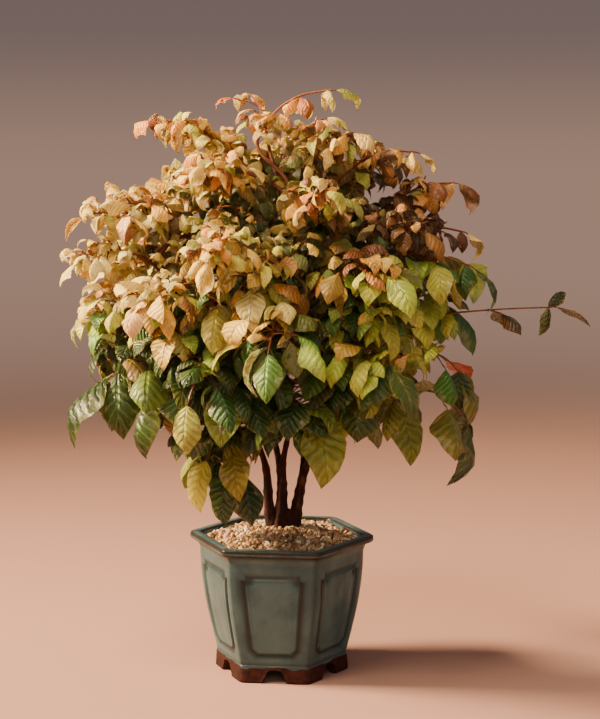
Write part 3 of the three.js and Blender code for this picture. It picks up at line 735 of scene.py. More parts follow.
CANES = (
    Cane(
        3.2, ((-6, 1, 108), (-11, 1, 148), (-17, -2, 188), (-42, -14, 252), (-80, -28, 316), (-106, -34, 362))
    ),
    Cane(3.6, ((-1, 3, 108), (0, 3, 150), (-1, 4, 176), (-10, 16, 216), (-26, 40, 296), (-50, 66, 402))),
    Cane(3.6, ((1, 0, 108), (0, 0, 150), (1, -2, 176), (7, -14, 220), (0, -38, 316), (8, -56, 418))),
    Cane(3.5, ((8, 3, 108), (14, 3, 148), (19, 5, 170), (24, 22, 215), (42, 52, 296), (66, 76, 372))),
    Cane(3.5, ((9, 0, 108), (14, 0, 148), (20, -1, 170), (36, -8, 205), (78, -20, 278), (116, -24, 346))),
)
CANE_TIP = 1.1
NO_LEAF = -1
GROWTH_SEED = 20
ASIDE = (0.31, 0.22, 0.92)
CROWN_MIDDLE = np.array([-6.0, 0.0, 326.0])
CROWN_HALVES = np.array([140.0, 147.0, 150.0])
GOLDEN_ANGLE = 137.508
SIDES = (1, -1)


@dataclass(frozen=True)
class LeafPlan:
    """Where a compound leaf stands and how it bends.

    Attributes:
        heading: which way it points, in degrees.
        rise: its pitch at the start.
        bend: how far its pitch falls along the stalk.
        length: of the stalk.
        triples: whether its side stalks carry leaflets in threes.
        size: of its leaflets, 1 at full size.
        twist: how far its side leaflets are turned up and down instead of sideways, in degrees.
        end: where its stalk ends.
    """

    heading: float
    rise: float
    bend: float
    length: float
    triples: bool
    size: float
    twist: float = 0.0
    end: tuple[float, float, float] = (0.0, 0.0, 0.0)


OUTLINE_LEAVES = (
    LeafPlan(4, 66, 66, 70, True, 0.9, end=(38, -18, 490)),
    LeafPlan(8, 50, 62, 62, True, 0.9, end=(108, -8, 440)),
    LeafPlan(176, 58, 60, 62, True, 0.9, end=(-96, -30, 466)),
    LeafPlan(112, 66, 56, 46, False, 0.85, end=(-26, 30, 487)),
    LeafPlan(184, 42, 52, 60, True, 0.95, end=(-148, -34, 391)),
    LeafPlan(180, 26, 44, 60, False, 1.05, end=(-132, -8, 346)),
    LeafPlan(192, 14, 40, 64, True, 1.25, end=(-133, -46, 262)),
    LeafPlan(214, 10, 58, 54, True, 1.0, end=(-104, -66, 250)),
    LeafPlan(216, -8, 46, 44, True, 1.05, end=(-58, -46, 196)),
    LeafPlan(-68, 6, 60, 40, False, 1.2, end=(26, -62, 236)),
    LeafPlan(-40, 8, 56, 48, True, 1.0, end=(92, -58, 240)),
    LeafPlan(-12, 24, 84, 58, False, 1.1, end=(152, -20, 222)),
    LeafPlan(0, 7, 6, 104, False, 0.8, twist=58, end=(222, -18, 312)),
    LeafPlan(8, 50, 54, 58, False, 1.0, end=(140, 2, 414)),
    LeafPlan(-18, 30, 56, 56, True, 1.0, end=(150, -46, 350)),
)


@dataclass
class Leaflet:
    """One leaflet's place and form: angles in degrees but for roll and fold, sizes in millimetres."""

    base: Array
    heading: float
    pitch: float
    roll: float
    fold: float
    arch: float = 0.0
    length: float = 0.0
    width: float = 0.0


@dataclass
class Group:
    """Up to three leaflets at the end of a stalk that runs from `start` to `at` and on to `seat`."""

    start: Array
    at: Array
    seat: Array
    heading: float
    pitch: float
    size: float
    full: bool
    leaflets: list[Leaflet] = field(default_factory=list)


@dataclass
class Leaf:
    """A planted compound leaf: its plan, number, twig, stalk stations and leaflet groups."""

    plan: LeafPlan
    number: int
    twig: Array
    spine: Array
    pitches: Array
    groups: list[Group] = field(default_factory=list)
    extra: list[Group] = field(default_factory=list)

    def tone(self) -> Tone:
        """The leaf's colour, by where its stalk ends."""
        x, _, z = self.spine[-1]
        return tone_at(x, z)


def crown_way(turn: float, sine: float) -> Array:
    """The way from the crown's middle to its egg-shaped outline.

    Args:
        turn: its heading, in degrees.
        sine: of its height.

    Returns:
        The way, in millimetres.
    """
    level = math.sqrt(max(0.0, 1 - sine * sine))
    wide, deep, high = CROWN_HALVES
    return np.array([wide * level * math.cos(turn * DEG), deep * level * math.sin(turn * DEG), high * sine])


def tone_at(x: float, z: float) -> Tone:
    """The colour of leaves at a place: young ones at the top and the left, old ones low down.

    Args:
        x: of the place.
        z: its height.

    Returns:
        The tone.
    """
    if z > 352 or (z > 312 and x < -60):
        return Tone.CREAM if x < 45 else Tone.BRONZE
    return Tone.YELLOW if z > 268 else Tone.GREEN


def apart(first: Array, second: Array) -> Array:
    """Squared distances from every point of one set, as columns, to every point of the other."""
    x, y, z = (second[:, axis, None] - first[:, axis] for axis in range(3))
    return x * x + y * y + z * z


@dataclass
class Crowd:
    """Points that others keep clear of, each with its radius and the number of its leaf.

    They come in blocks, such as one leaflet's points, and a test looks only into the blocks nearby.
    """

    at: list[Array] = field(default_factory=list)
    radius: list[float] = field(default_factory=list)
    owner: list[int] = field(default_factory=list)
    middle: Array = field(default_factory=lambda: np.zeros((64, 3)))
    spread: Array = field(default_factory=lambda: np.zeros(64))

    def add(self, points: Array, radius: float, owner: int) -> None:
        """Adds a block, and doubles the room for blocks when it is full.

        Args:
            points: of one leaflet, stalk, twig or cane.
            radius: to keep clear round each.
            owner: the number of the leaf.
        """
        count = len(self.at)
        if count == len(self.spread):
            self.middle = np.concatenate([self.middle, np.zeros_like(self.middle)])
            self.spread = np.concatenate([self.spread, np.zeros_like(self.spread)])
        self.at.append(points)
        self.radius.append(radius)
        self.owner.append(owner)
        self.middle[count] = points.mean(0)
        self.spread[count] = np.sqrt(apart(points, self.middle[count : count + 1]).max())

    def clear(
        self,
        points: Array,
        owner: int,
        gap: float,
        own_gap: float,
        reach: float = 1e6,
        skip_own: bool = False,
    ) -> bool:
        """Whether every point keeps its distance from every point of the crowd.

        Args:
            points: the points to test, the first of which is their middle.
            owner: the number of the leaf that they belong to.
            gap: the distance to keep from other leaves.
            own_gap: the distance to keep from the same leaf.
            reach: how far from the middle the crowd is looked at.
            skip_own: whether the same leaf is left out of it.

        Returns:
            True if none is too near.
        """
        count = len(self.at)
        far = apart(self.middle[:count], points[:1])[0]
        blocks = np.flatnonzero(far < (reach + self.spread[:count]) ** 2)
        blocks = [block for block in blocks if not (skip_own and self.owner[block] == owner)]
        if not blocks:
            return True
        near = np.concatenate([self.at[block] for block in blocks])
        gaps = [(own_gap if self.owner[block] == owner else gap) + self.radius[block] for block in blocks]
        need = np.repeat(gaps, [len(self.at[block]) for block in blocks])
        within = apart(near, points[:1])[0] < reach * reach
        return bool((apart(near[within], points) > need[within] ** 2).all())


@dataclass
class Growth:
    """Grows the plant: canes, then each leaf's twig and stalks, then its leaflets.

    What would touch something of another leaf is drawn again, and left out if it never comes clear.
    Angles are in degrees, sizes in millimetres.

    Attributes:
        twig_span: shares of a cane between which twigs spring from it, at `twig_places` places.
        twig_rise: height below its leaf that a twig's foot is sought at.
        slope_share: share of the stalk's pitch that the side stalks keep.
    """

    tries: int = 12
    stalk_steps: int = 3
    twig_checks: int = 30
    cane_checks: int = 80
    seat_gap: float = 0.3
    apart: float = 5.0
    leaf_gap: float = 5.2
    own_gap: float = 3.4
    wood_gap: float = 3.4
    stalk_gap: float = 4.6
    twig_thick: float = 1.6
    stalk_thick: float = 1.2
    twig_span: tuple[float, float] = (0.42, 0.98)
    twig_places: int = 24
    twig_rise: float = 26.0
    leaflet_length: float = 49.0
    leaflet_width: float = 0.54
    petiole: float = 8.0
    side_stalk: float = 19.0
    side_turn: float = 66.0
    side_sway: float = 8.0
    side_size: float = 0.92
    side_spread: float = 80.0
    neighbour_size: float = 0.86
    shrink: float = 0.97
    slope_share: float = 0.6
    fill_count: int = 26
    fill_lowest: float = -0.5
    leaves: list[Leaf] = field(default_factory=list)
    wood: Crowd = field(default_factory=Crowd)
    stalks: Crowd = field(default_factory=Crowd)
    blades: Crowd = field(default_factory=Crowd)
    draw: Draw = field(default_factory=lambda: Draw(GROWTH_SEED))

    def grow(self) -> list[Leaf]:
        """Runs the whole rule, in the order in which the solids' source draws its numbers.

        Returns:
            The leaves.
        """
        for cane in CANES:
            places = through(cane.curve(), np.arange(self.cane_checks + 1) / self.cane_checks)
            self.wood.add(places, cane.thick, NO_LEAF)
        for plan in OUTLINE_LEAVES:
            self.plant(plan)
        for k in range(self.fill_count):
            self.fill(k)
        around = self.around()
        for leaf in self.leaves:
            self.leaflets_of(leaf, around)
        return self.leaves

    def around(self) -> Crowd:
        """Everything that a leaflet keeps clear of.

        Returns:
            A crowd of the wood's blocks and the stalks'.
        """
        both = Crowd()
        for crowd in (self.wood, self.stalks):
            for block in zip(crowd.at, crowd.radius, crowd.owner):
                both.add(*block)
        return both

    def fill(self, k: int) -> None:
        """Plants one filling leaf on the crown's spiral, trying again where it isn't clear.

        Args:
            k: its place on the spiral, from the top.
        """
        about = self.draw.about
        for attempt in range(self.tries):
            sine = 1 - ((k + 0.5) / self.fill_count) * (1 - self.fill_lowest) + about(0.05)
            turn = k * GOLDEN_ANGLE + 40 + about(9 + 2 * attempt)
            plan = LeafPlan(
                heading=turn + about(16),
                rise=34 + 38 * sine + about(8),
                bend=62 + about(12),
                length=66 + about(10),
                triples=True,
                size=1.0 + about(0.1),
                end=CROWN_MIDDLE + crown_way(turn, sine),
            )
            if self.plant(plan):
                return

    def spine_of(self, plan: LeafPlan) -> tuple[Array, Array]:
        """A leaf's stalk, whose pitch falls evenly along it.

        Args:
            plan: the leaf's plan.

        Returns:
            The stations of the stalk, and its pitch at each.
        """
        shares = np.arange(self.stalk_steps + 1) / self.stalk_steps
        middles = (np.arange(self.stalk_steps) + 0.5) / self.stalk_steps
        ways = np.array([direction(plan.heading, plan.rise - plan.bend * middle) for middle in middles])
        steps = ways * (plan.length / self.stalk_steps)
        start = np.array(plan.end, float) - np.cumsum(steps, axis=0)[-1]
        return np.cumsum([start, *steps], axis=0), plan.rise - plan.bend * shares

    def twig_of(self, plan: LeafPlan, at: Array) -> Array:
        """The twig that carries a leaf, from the nearest free place on a cane.

        Args:
            plan: the leaf's plan.
            at: where its stalk starts.

        Returns:
            The four control points of the twig's curve.
        """
        best, cheapest = None, math.inf
        taken = np.array([leaf.twig[0] for leaf in self.leaves]).reshape(-1, 3)
        lowest, highest = self.twig_span
        for cane in CANES:
            curve = cane.curve()
            for step in range(self.twig_places + 1):
                t = lowest + (highest - lowest) * step / self.twig_places
                here = through(curve, t)[0]
                if len(taken) and (np.linalg.norm(taken - here, axis=1) < self.apart).any():
                    continue
                cost = np.linalg.norm(here - at) + max(0.0, self.twig_rise - (at[2] - here[2]))
                if cost < cheapest:
                    cheapest, best = cost, (here, unit(through(curve, t + 0.02)[0] - here))
        here, along = best
        aim = direction(plan.heading, plan.rise)
        span = np.linalg.norm(here - at) / 3
        end = at - aim * self.seat_gap
        outward = unit(unit(at - here) * 1.5 + along) * span
        return np.array([here, here + outward, end - aim * span, end])

    def group(self, start: Array, at: Array, heading: float, pitch: float, size: float, full: bool) -> Group:
        """A group of leaflets, with its middle one on a short stalk of its own."""
        seat = at + direction(heading, pitch) * self.petiole * size
        return Group(start, at, seat, heading, pitch, size, full)

    def groups_of(self, leaf: Leaf) -> list[Group]:
        """One group at the leaf's tip and one on each side stalk.

        Args:
            leaf: the leaf, with its stalk.

        Returns:
            The three groups, still without leaflets.
        """
        plan, spine, pitches = leaf.plan, leaf.spine, leaf.pitches
        groups = [self.group(spine[3], spine[3], plan.heading, pitches[3], plan.size, True)]
        at = (spine[1] + spine[2]) / 2
        pitch = (pitches[1] + pitches[2]) / 2
        for turn in SIDES:
            side = plan.heading + turn * (self.side_turn + self.draw.about(self.side_sway))
            slope = pitch * self.slope_share - 6 + self.draw.about(self.side_sway)
            end = at + direction(side, slope) * self.side_stalk * plan.size
            groups.append(self.group(at, end, side, slope, plan.size * self.side_size, plan.triples))
        return groups

    def plant(self, plan: LeafPlan) -> bool:
        """Plants a leaf whose stalk ends where its plan says.

        Args:
            plan: the leaf's plan.

        Returns:
            Whether its stalks and its twig stay clear, so that it is planted.
        """
        number = len(self.leaves)
        spine, pitches = self.spine_of(plan)
        leaf = Leaf(plan, number, self.twig_of(plan, spine[0]), spine, pitches)
        leaf.groups = self.groups_of(leaf)
        green = [steps_to(before, after, 8) for before, after in zip(spine[:-1], spine[1:])]
        for group in leaf.groups:
            green += [steps_to(group.start, group.at, 6), group.seat[None]]
        green = np.concatenate(green)
        woody = bezier(leaf.twig, np.arange(self.twig_checks + 1) / self.twig_checks)
        for points, crowd in ((green, self.wood), (green, self.stalks), (woody, self.stalks)):
            if not crowd.clear(points, number, self.stalk_gap, self.stalk_gap):
                return False
        self.wood.add(woody, self.twig_thick, number)
        self.stalks.add(green, self.stalk_thick, number)
        self.leaves.append(leaf)
        return True

    def leaflet(self, leaf: Leaf, group: Group, turn: int, attempt: int) -> Leaflet:
        """Draws one leaflet.

        Args:
            leaf: its leaf.
            group: its group.
            turn: 0 for the middle one, and 1 or -1 for its neighbours.
            attempt: how often it was drawn before, as each try is looser and smaller.

        Returns:
            The leaflet.
        """
        about = self.draw.about
        spread = turn * (self.side_spread + about(12))
        twist = leaf.plan.twist * DEG
        level = min(group.pitch, 20) - (12 if turn else 4)
        drawn = Leaflet(
            base=group.at if turn else group.seat,
            heading=group.heading + spread * math.cos(twist) + about(6 + 2 * attempt),
            pitch=level + spread * math.sin(twist) + about(10 + 3 * attempt),
            roll=about(0.35),
            fold=0.22 * about(1.6),
        )
        drawn.arch = 30.0 if twist else max(24.0, drawn.pitch + 66 + about(20))
        size = group.size * (self.neighbour_size if turn else 1) * self.shrink**attempt
        drawn.length = self.leaflet_length * size * (1 + about(0.13))
        drawn.width = drawn.length * self.leaflet_width * (1 + about(0.1))
        return drawn

    def leaflets_of(self, leaf: Leaf, around: Crowd) -> None:
        """One leaf's leaflets, group by group: the middle one, then its two neighbours.

        Args:
            leaf: the leaf.
            around: the wood and the stalks.
        """
        for group in leaf.groups:
            for turn in (0, *SIDES) if group.full else (0,):
                for attempt in range(self.tries):
                    drawn = self.leaflet(leaf, group, turn, attempt)
                    if self.settled(leaf, group, drawn, blade_samples(drawn), around):
                        break

    def settled(self, leaf: Leaf, group: Group, drawn: Leaflet, samples: Array, around: Crowd) -> bool:
        """Adds a leaflet if it keeps its distance from wood, stalks and the other leaflets.

        Args:
            leaf: its leaf.
            group: its group.
            drawn: the leaflet.
            samples: points of it.
            around: the wood and the stalks.

        Returns:
            Whether it was added.
        """
        number, reach = leaf.number, drawn.length
        if not around.clear(samples, number, self.wood_gap, self.wood_gap, reach, skip_own=True):
            return False
        if not self.blades.clear(samples, number, self.leaf_gap, self.own_gap, reach):
            return False
        self.blades.add(samples, 0.0, number)
        group.leaflets.append(drawn)
        return True


SAMPLE_ALONG = np.array([0.16, 0.28, 0.4, 0.52, 0.64, 0.76, 0.88])
SAMPLE_ACROSS = np.array([-1, -0.5, 0, 0.5, 1])


def blade_width(u: Array) -> Array:
    """Half-width along the blade, 1 at its widest: it swells from the base and draws out to a tip."""
    return 3.91 * u**0.85 * (1 - u) ** 1.15


@dataclass
class Blades:
    """Leaflets as arrays, one entry for each, so that their points are worked out all at once."""

    leaflets: list[Leaflet]

    def column(self, name: str) -> Array:
        """One size of every leaflet, as a column."""
        return np.array([getattr(leaflet, name) for leaflet in self.leaflets], float)[:, None]

    def base(self) -> Array:
        """Where the leaflets start."""
        return np.array([leaflet.base for leaflet in self.leaflets])

    def points(self, u: Array, v: Array) -> tuple[Array, Array]:
        """Points of the blades at places u along and v across them.

        The midrib is an arc of `arch` degrees in an upright plane: at u its pitch has fallen by
        arch times u. The blade is rolled about it, and its two halves rise from it by the fold.

        Args:
            u: places along, from 0 at the base to 1 at the tip.
            v: places across, from -1 to 1 at the margins.

        Returns:
            The points as leaflet, place, and xyz, and the direction that each blade faces there.
        """
        h, p, a = (self.column(name) * DEG for name in ("heading", "pitch", "arch"))
        length, roll, fold = (self.column(name) for name in ("length", "roll", "fold"))
        now = p - a * u
        out = (length / a) * (np.sin(p) - np.sin(now))
        up = (length / a) * (np.cos(now) - np.cos(p))
        level = np.zeros_like(now)
        side = np.stack([level - np.sin(h), level + np.cos(h), level], -1)
        normal = np.stack([-np.sin(now) * np.cos(h), -np.sin(now) * np.sin(h), np.cos(now)], -1)
        across = side * np.cos(roll)[..., None] + normal * np.sin(roll)[..., None]
        facing = normal * np.cos(roll)[..., None] - side * np.sin(roll)[..., None]
        half = self.column("width") / 2 * blade_width(u)
        base = self.base()[:, None]
        rib = base + np.stack([out * np.cos(h), out * np.sin(h), up], -1)
        rib = rib + across * (v * half * np.cos(fold))[..., None]
        return rib + facing * (np.abs(v) * half * np.sin(fold))[..., None], facing


SAMPLE_U, SAMPLE_V = (
    np.concatenate([start, grid.ravel()])
    for start, grid in zip(
        ([0.5, 1.0], [0.0, 0.0]), np.meshgrid(SAMPLE_ALONG, SAMPLE_ACROSS, indexing="ij")
    )
)


def blade_samples(leaflet: Leaflet) -> Array:
    """Points all over a blade as the solids have it, its middle and its tip first."""
    return Blades([leaflet]).points(SAMPLE_U, SAMPLE_V)[0][0]


# Leaflets beyond those of the solids.


@dataclass(frozen=True)
class Round:
    """One round of side stalks along a frond's stalk, a pair at each place.

    Attributes:
        places: shares of the way along the frond's stalk.
        spread: angle between the frond's stalk and the side stalk, in degrees.
        lift: how much steeper the side stalk is than the rule has it.
        reach: its length, as a share of the rule's.
        size: of its leaflets, as a share of the frond's.
        full: whether it carries three leaflets instead of one.
    """

    places: tuple[float, ...]
    spread: float
    lift: float
    reach: float
    size: float
    full: bool = True


STEEPEST = 70.0
YOUNG_SIZE = {Tone.CREAM: 0.57, Tone.BRONZE: 0.6, Tone.YELLOW: 0.82, Tone.GREEN: 1.0}
LOOSE = {Tone.CREAM: 1.0, Tone.BRONZE: 0.9, Tone.YELLOW: 0.6, Tone.GREEN: 0.45}
NARROW = {Tone.CREAM: 0.98, Tone.BRONZE: 0.98, Tone.YELLOW: 1.08, Tone.GREEN: 1.12}
GAP_LEAVES = (
    LeafPlan(228, -24, 46, 40, True, 0.9, end=(-46, -46, 178)),
    LeafPlan(-92, 38, 62, 54, True, 0.85, end=(-12, -116, 358)),
    LeafPlan(-104, 34, 62, 54, True, 0.85, end=(-48, -104, 324)),
    LeafPlan(-78, 34, 62, 54, True, 0.85, end=(34, -108, 332)),
    LeafPlan(-90, 28, 66, 54, True, 0.9, end=(-4, -122, 298)),
    LeafPlan(6, 40, 60, 54, False, 0.8, end=(150, 0, 374)),
    LeafPlan(-8, 20, 76, 50, False, 0.9, end=(148, -16, 258)),
    LeafPlan(182, 30, 60, 50, True, 0.8, end=(-150, -20, 310)),
    LeafPlan(184, 24, 56, 46, True, 0.8, end=(-162, -34, 354)),
)
ROUNDS = (
    Round((0.22, 0.8), 62, 0, 1.1, 0.84),
    Round((0.36, 0.64, 0.95), 48, 36, 1.2, 0.74),
    Round((0.12, 0.5, 0.78), 74, -38, 1.25, 0.8),
    Round((0.3, 0.6, 0.88), 30, 64, 0.9, 0.7),
    Round((0.18, 0.45, 0.72), 88, 18, 0.9, 0.76),
    Round((0.26, 0.56, 0.84), 54, -14, 1.5, 0.72),
    Round((0.4, 0.7, 0.98), 40, 50, 1.4, 0.66),
)


@dataclass
class Thicket:
    """Fills the crown out with what the solids leave out: inner fronds, and more side stalks on all.

    A frond of the real plant has five or more pairs of side stalks, and the crown has more fronds
    than the solids can hold. Each leaflet is drawn again until it comes clear.

    Attributes:
        half_sizes: half the width, depth and height that leaflets stay within, in millimetres.
        left_share: how much less a step to the left counts, so that the crown reaches out there.
        bulges: x, y and z of a direction, and how far the shape bulges there.
        skirt_x: places from left to right.
        skirt_z: the lowest height of leaflets at each.
    """

    growth: Growth
    seed: int = 77
    tries: int = 5
    plant_tries: int = 12
    inner_count: int = 30
    inner_lowest: float = -0.62
    apart: float = 2.5
    leaf_gap: float = 1.9
    own_gap: float = 1.5
    wood_gap: float = 1.0
    stalk_gap: float = 1.6
    half_sizes: tuple[float, float, float] = (157.0, 163.0, 157.0)
    left_share: float = 0.9
    lumps: float = 0.15
    bulges: tuple[tuple[float, ...], ...] = (
        (-0.6, -0.2, 0.78, 0.14),
        (-0.97, -0.2, 0.16, 0.17),
        (0.9, -0.1, 0.4, 0.08),
    )
    bulge_width: float = 0.07
    skirt_x: tuple[float, ...] = (-190, -150, -95, -88, -60, -34, -28, -16, -8, 15, 22, 60, 130, 150, 190)
    skirt_z: tuple[float, ...] = (205, 202, 200, 150, 146, 146, 160, 172, 208, 208, 178, 196, 200, 214, 214)

    def grow(self) -> None:
        """Adds the inner fronds, then the further side stalks of every frond."""
        growth = self.growth
        growth.draw = Draw(self.seed)
        growth.stalk_gap, growth.apart = self.stalk_gap, self.apart
        outer_count = len(growth.leaves)
        for plan in GAP_LEAVES:
            growth.plant(plan)
        for k in range(self.inner_count):
            self.plant_inner(k)
        growth.tries = self.tries
        growth.wood_gap, growth.leaf_gap, growth.own_gap = self.wood_gap, self.leaf_gap, self.own_gap
        around = growth.around()
        for leaf in growth.leaves[outer_count:]:
            growth.leaflets_of(leaf, around)
        for step in ROUNDS:
            for leaf in growth.leaves:
                self.extend(leaf, step, around)

    def plant_inner(self, k: int) -> None:
        """Plants one inner frond on a spiral, at 57 to 87 hundredths of the crown's size.

        Args:
            k: its place on the spiral, from the top.
        """
        about = self.growth.draw.about
        for attempt in range(self.plant_tries):
            sine = 1 - ((k + 0.5) / self.inner_count) * (1 - self.inner_lowest) + about(0.06)
            depth = 0.72 + about(0.15)
            turn = k * GOLDEN_ANGLE + 210 + about(12 + 3 * attempt)
            plan = LeafPlan(
                heading=turn + about(30),
                rise=30 + 30 * sine + about(12),
                bend=60 + about(14),
                length=54 + about(10),
                triples=True,
                size=0.92,
                end=CROWN_MIDDLE + depth * crown_way(turn, sine),
            )
            if self.growth.plant(plan):
                return

    def within(self, samples: Array) -> bool:
        """Whether a leaflet stays in the crown: a lumpy egg shape, over a skirt line.

        The egg's size is changed by a product of sines of the three directions, and grows by a bell
        curve round the direction of each bulge.

        Args:
            samples: points of the leaflet.

        Returns:
            True if all of them do.
        """
        share = (samples - CROWN_MIDDLE) / self.half_sizes
        share[:, 0] *= np.where(share[:, 0] < 0, self.left_share, 1)
        way = unit(share)
        x, y, z = way.T
        lump = self.lumps * np.sin(6.5 * x + 1.1) * np.cos(5.5 * y + 3 * z)
        size = 0.96 + lump * np.sin(6 * z + 0.4 + 2 * x)
        for *middle, rise in self.bulges:
            size = size + rise * np.exp(-((way - middle) ** 2).sum(-1) / self.bulge_width)
        skirt = np.interp(samples[:, 0], self.skirt_x, self.skirt_z)
        return bool((np.linalg.norm(share, axis=1) < size).all() and (samples[:, 2] > skirt).all())

    def extend(self, leaf: Leaf, step: Round, around: Crowd) -> None:
        """Adds one round of side stalks to a leaf, but for the long bare one at the right.

        Args:
            leaf: the leaf.
            step: the round.
            around: the wood and the stalks.
        """
        growth, about = self.growth, self.growth.draw.about
        if leaf.plan.twist:
            return
        for place in step.places:
            at = through(leaf.spine, place)[0]
            pitch = float(np.interp(place, np.linspace(0, 1, len(leaf.pitches)), leaf.pitches))
            for turn in SIDES:
                side = leaf.plan.heading + turn * (step.spread + about(14))
                slope = pitch * growth.slope_share - 4 + step.lift + about(16)
                slope = float(np.clip(slope, -STEEPEST, STEEPEST))
                size = leaf.plan.size * step.size * YOUNG_SIZE[leaf.tone()]
                end = at + direction(side, slope) * growth.side_stalk * size * (step.reach + about(0.3))
                group = growth.group(at, end, side, slope, size, step.full)
                for way in (0, *SIDES):
                    self.try_leaflet(leaf, group, way, around)
                if group.leaflets:
                    leaf.extra.append(group)

    def try_leaflet(self, leaf: Leaf, group: Group, turn: int, around: Crowd) -> None:
        """Draws one leaflet until it comes clear, and leaves it out if it never does.

        Args:
            leaf: its leaf.
            group: its group.
            turn: 0 for the middle one, and 1 or -1 for its neighbours.
            around: the wood and the stalks.
        """
        growth, about = self.growth, self.growth.draw.about
        loose = LOOSE[leaf.tone()]
        for attempt in range(self.tries):
            drawn = growth.leaflet(leaf, group, turn, attempt)
            drawn.width *= NARROW[leaf.tone()]
            drawn.heading += about(26 * loose)
            drawn.pitch += 8 * loose + about(34 * loose)
            drawn.roll += about(0.8 * loose)
            drawn.arch = max(30.0, drawn.arch + about(34 * loose))
            samples = blade_samples(drawn)
            if self.within(samples) and growth.settled(leaf, group, drawn, samples, around):
                return


# Fronds.


@dataclass(frozen=True)
class Palette:
    """The colours that leaflets are drawn from, each with its share, and their stalks' colour."""

    blades: dict[int, float]
    stalk: int = 0x5E4A28

    def draw(self, draw: np.random.Generator, count: int) -> Array:
        """A colour for each of a number of leaflets."""
        shares = np.array(list(self.blades.values()))
        return linear(list(self.blades))[draw.choice(len(shares), count, p=shares / shares.sum())]


CREAM = {
    0xFFD266: 5, 0xFABC44: 4, 0xE48E2C: 2.6, 0xFAE878: 2.6, 0x9C5018: 1.8,
    0xCCCE3C: 2.4, 0xF0A45C: 0.8, 0x6A340E: 1.2, 0xC8502A: 0.12,
}
BRONZE = {
    0xB87630: 4, 0xE0A040: 3.4, 0x7E4622: 2.4, 0xF0C66C: 2.4, 0xA8A83C: 2.4, 0x4A2814: 1.6, 0xC88A4C: 0.8,
}
YELLOW = {
    0xAACA40: 4.2, 0xD8DE4A: 3.2, 0x78A83C: 3.2, 0x4C8430: 2.4, 0xD8C44A: 1, 0xB8742C: 0.25, 0x28561E: 2,
}
GREEN = {0x2A5618: 4, 0x387020: 3, 0x183C14: 3.8, 0x629028: 2, 0xA4B838: 1}
PALETTES = {
    Tone.CREAM: Palette(CREAM, 0x7E4426),
    Tone.BRONZE: Palette(BRONZE, 0x6A3420),
    Tone.YELLOW: Palette(YELLOW, 0x7A5028),
    Tone.GREEN: Palette(GREEN),
}
SHADE = Palette({0x243A14: 3, 0x304C1A: 2, 0x505E1C: 1, 0x363212: 0.5})
SPRIG = Palette({0x24301A: 3, 0x332A1C: 2, 0x3C4A20: 1}, 0x3A241A)
SUNLIT = Palette({0xD0D044: 3, 0xACBC38: 3, 0xD8CC4C: 1})
GOLDEN = Palette({0xA89A2E: 3, 0x8E8226: 2, 0xB8AC3C: 1})
SCARLET = Palette({0xC0282C: 1})
PALE = Palette(
    {0xFFEC94: 6, 0xFFDC74: 4, 0xFCCC60: 2.4, 0xEAE66C: 2, 0xE09A40: 1, 0xFCC484: 1, 0x9C5824: 0.5}
)
# Bronze leaflets painted darker as shade, for the crown's upper right.
SHADED_BRONZE = Palette({0x5E2C1A: 4, 0x7E4420: 3.4, 0x3E2210: 2.6, 0xBC7A30: 2.6, 0x7A6C24: 1.8, 0xE8AC58: 1.6})
TAWNY = Palette({0xF8CC5C: 3.6, 0xD4C848: 3, 0xFFE684: 3, 0xAC882E: 1.2, 0x6A7A26: 0.9, 0xE8983C: 1.4})
FRESH = Palette({0xBCD44A: 4.2, 0xDCE254: 3.4, 0x8CB83C: 3, 0x487C2A: 1.8, 0x2A521C: 1.5, 0xE0B048: 0.8})
DEEP = Palette({0x1C4214: 4, 0x28561A: 3, 0x4A7624: 2, 0x88A434: 1, 0x6A6A24: 0.4})
HOOKED = Palette({0x34501A: 4, 0x223C12: 3.4, 0x5C7628: 1.8, 0xA0A444: 0.3, 0x8A6A2C: 0.4})
OLIVE = Palette({0x667620: 3, 0x868E2C: 2.4, 0x34501A: 2.2, 0xACAC3C: 1.2})
RUSSET = Palette({0x2A4616: 3, 0x3C5A1E: 3, 0x56581E: 2, 0x86842E: 1.4})


@dataclass(frozen=True)
class Patch:
    """A place in the crown, from the front, where the leaflets have a palette of their own.

    Attributes:
        x: of its middle.
        z: of its middle.
        wide: half its width.
        high: half its height.
        palette: its colours.
        deepest: how far back it reaches.
    """

    x: float
    z: float
    wide: float
    high: float
    palette: Palette
    deepest: float = 20.0

    def holds(self, at: Array) -> Array:
        """Which points lie in it: inside its ellipse, and not too far back."""
        out = ((at[:, 0] - self.x) / self.wide) ** 2 + ((at[:, 2] - self.z) / self.high) ** 2
        return (out < 1) & (at[:, 1] < self.deepest)


PATCHES = (
    Patch(-132, 358, 54, 50, PALE),
    # Painted shade: darker bronze leaflets at the upper right.
    Patch(116, 392, 54, 36, SHADED_BRONZE, 60.0),
    Patch(-6, 342, 58, 42, TAWNY),
    Patch(92, 296, 60, 46, FRESH),
    Patch(-4, 250, 54, 36, DEEP),
    Patch(100, 236, 44, 26, OLIVE, 60.0),
    Patch(-136, 244, 76, 50, HOOKED, 60.0),
    Patch(158, 206, 42, 42, RUSSET, 60.0),
    Patch(-82, 164, 18, 30, SUNLIT),
    Patch(-30, 192, 16, 22, GOLDEN),
    Patch(46, 208, 24, 26, SUNLIT),
    Patch(80, 292, 22, 16, SUNLIT),
    Patch(116, 284, 18, 18, SUNLIT),
    Patch(152, 266, 18, 15, SCARLET, 60.0),
)


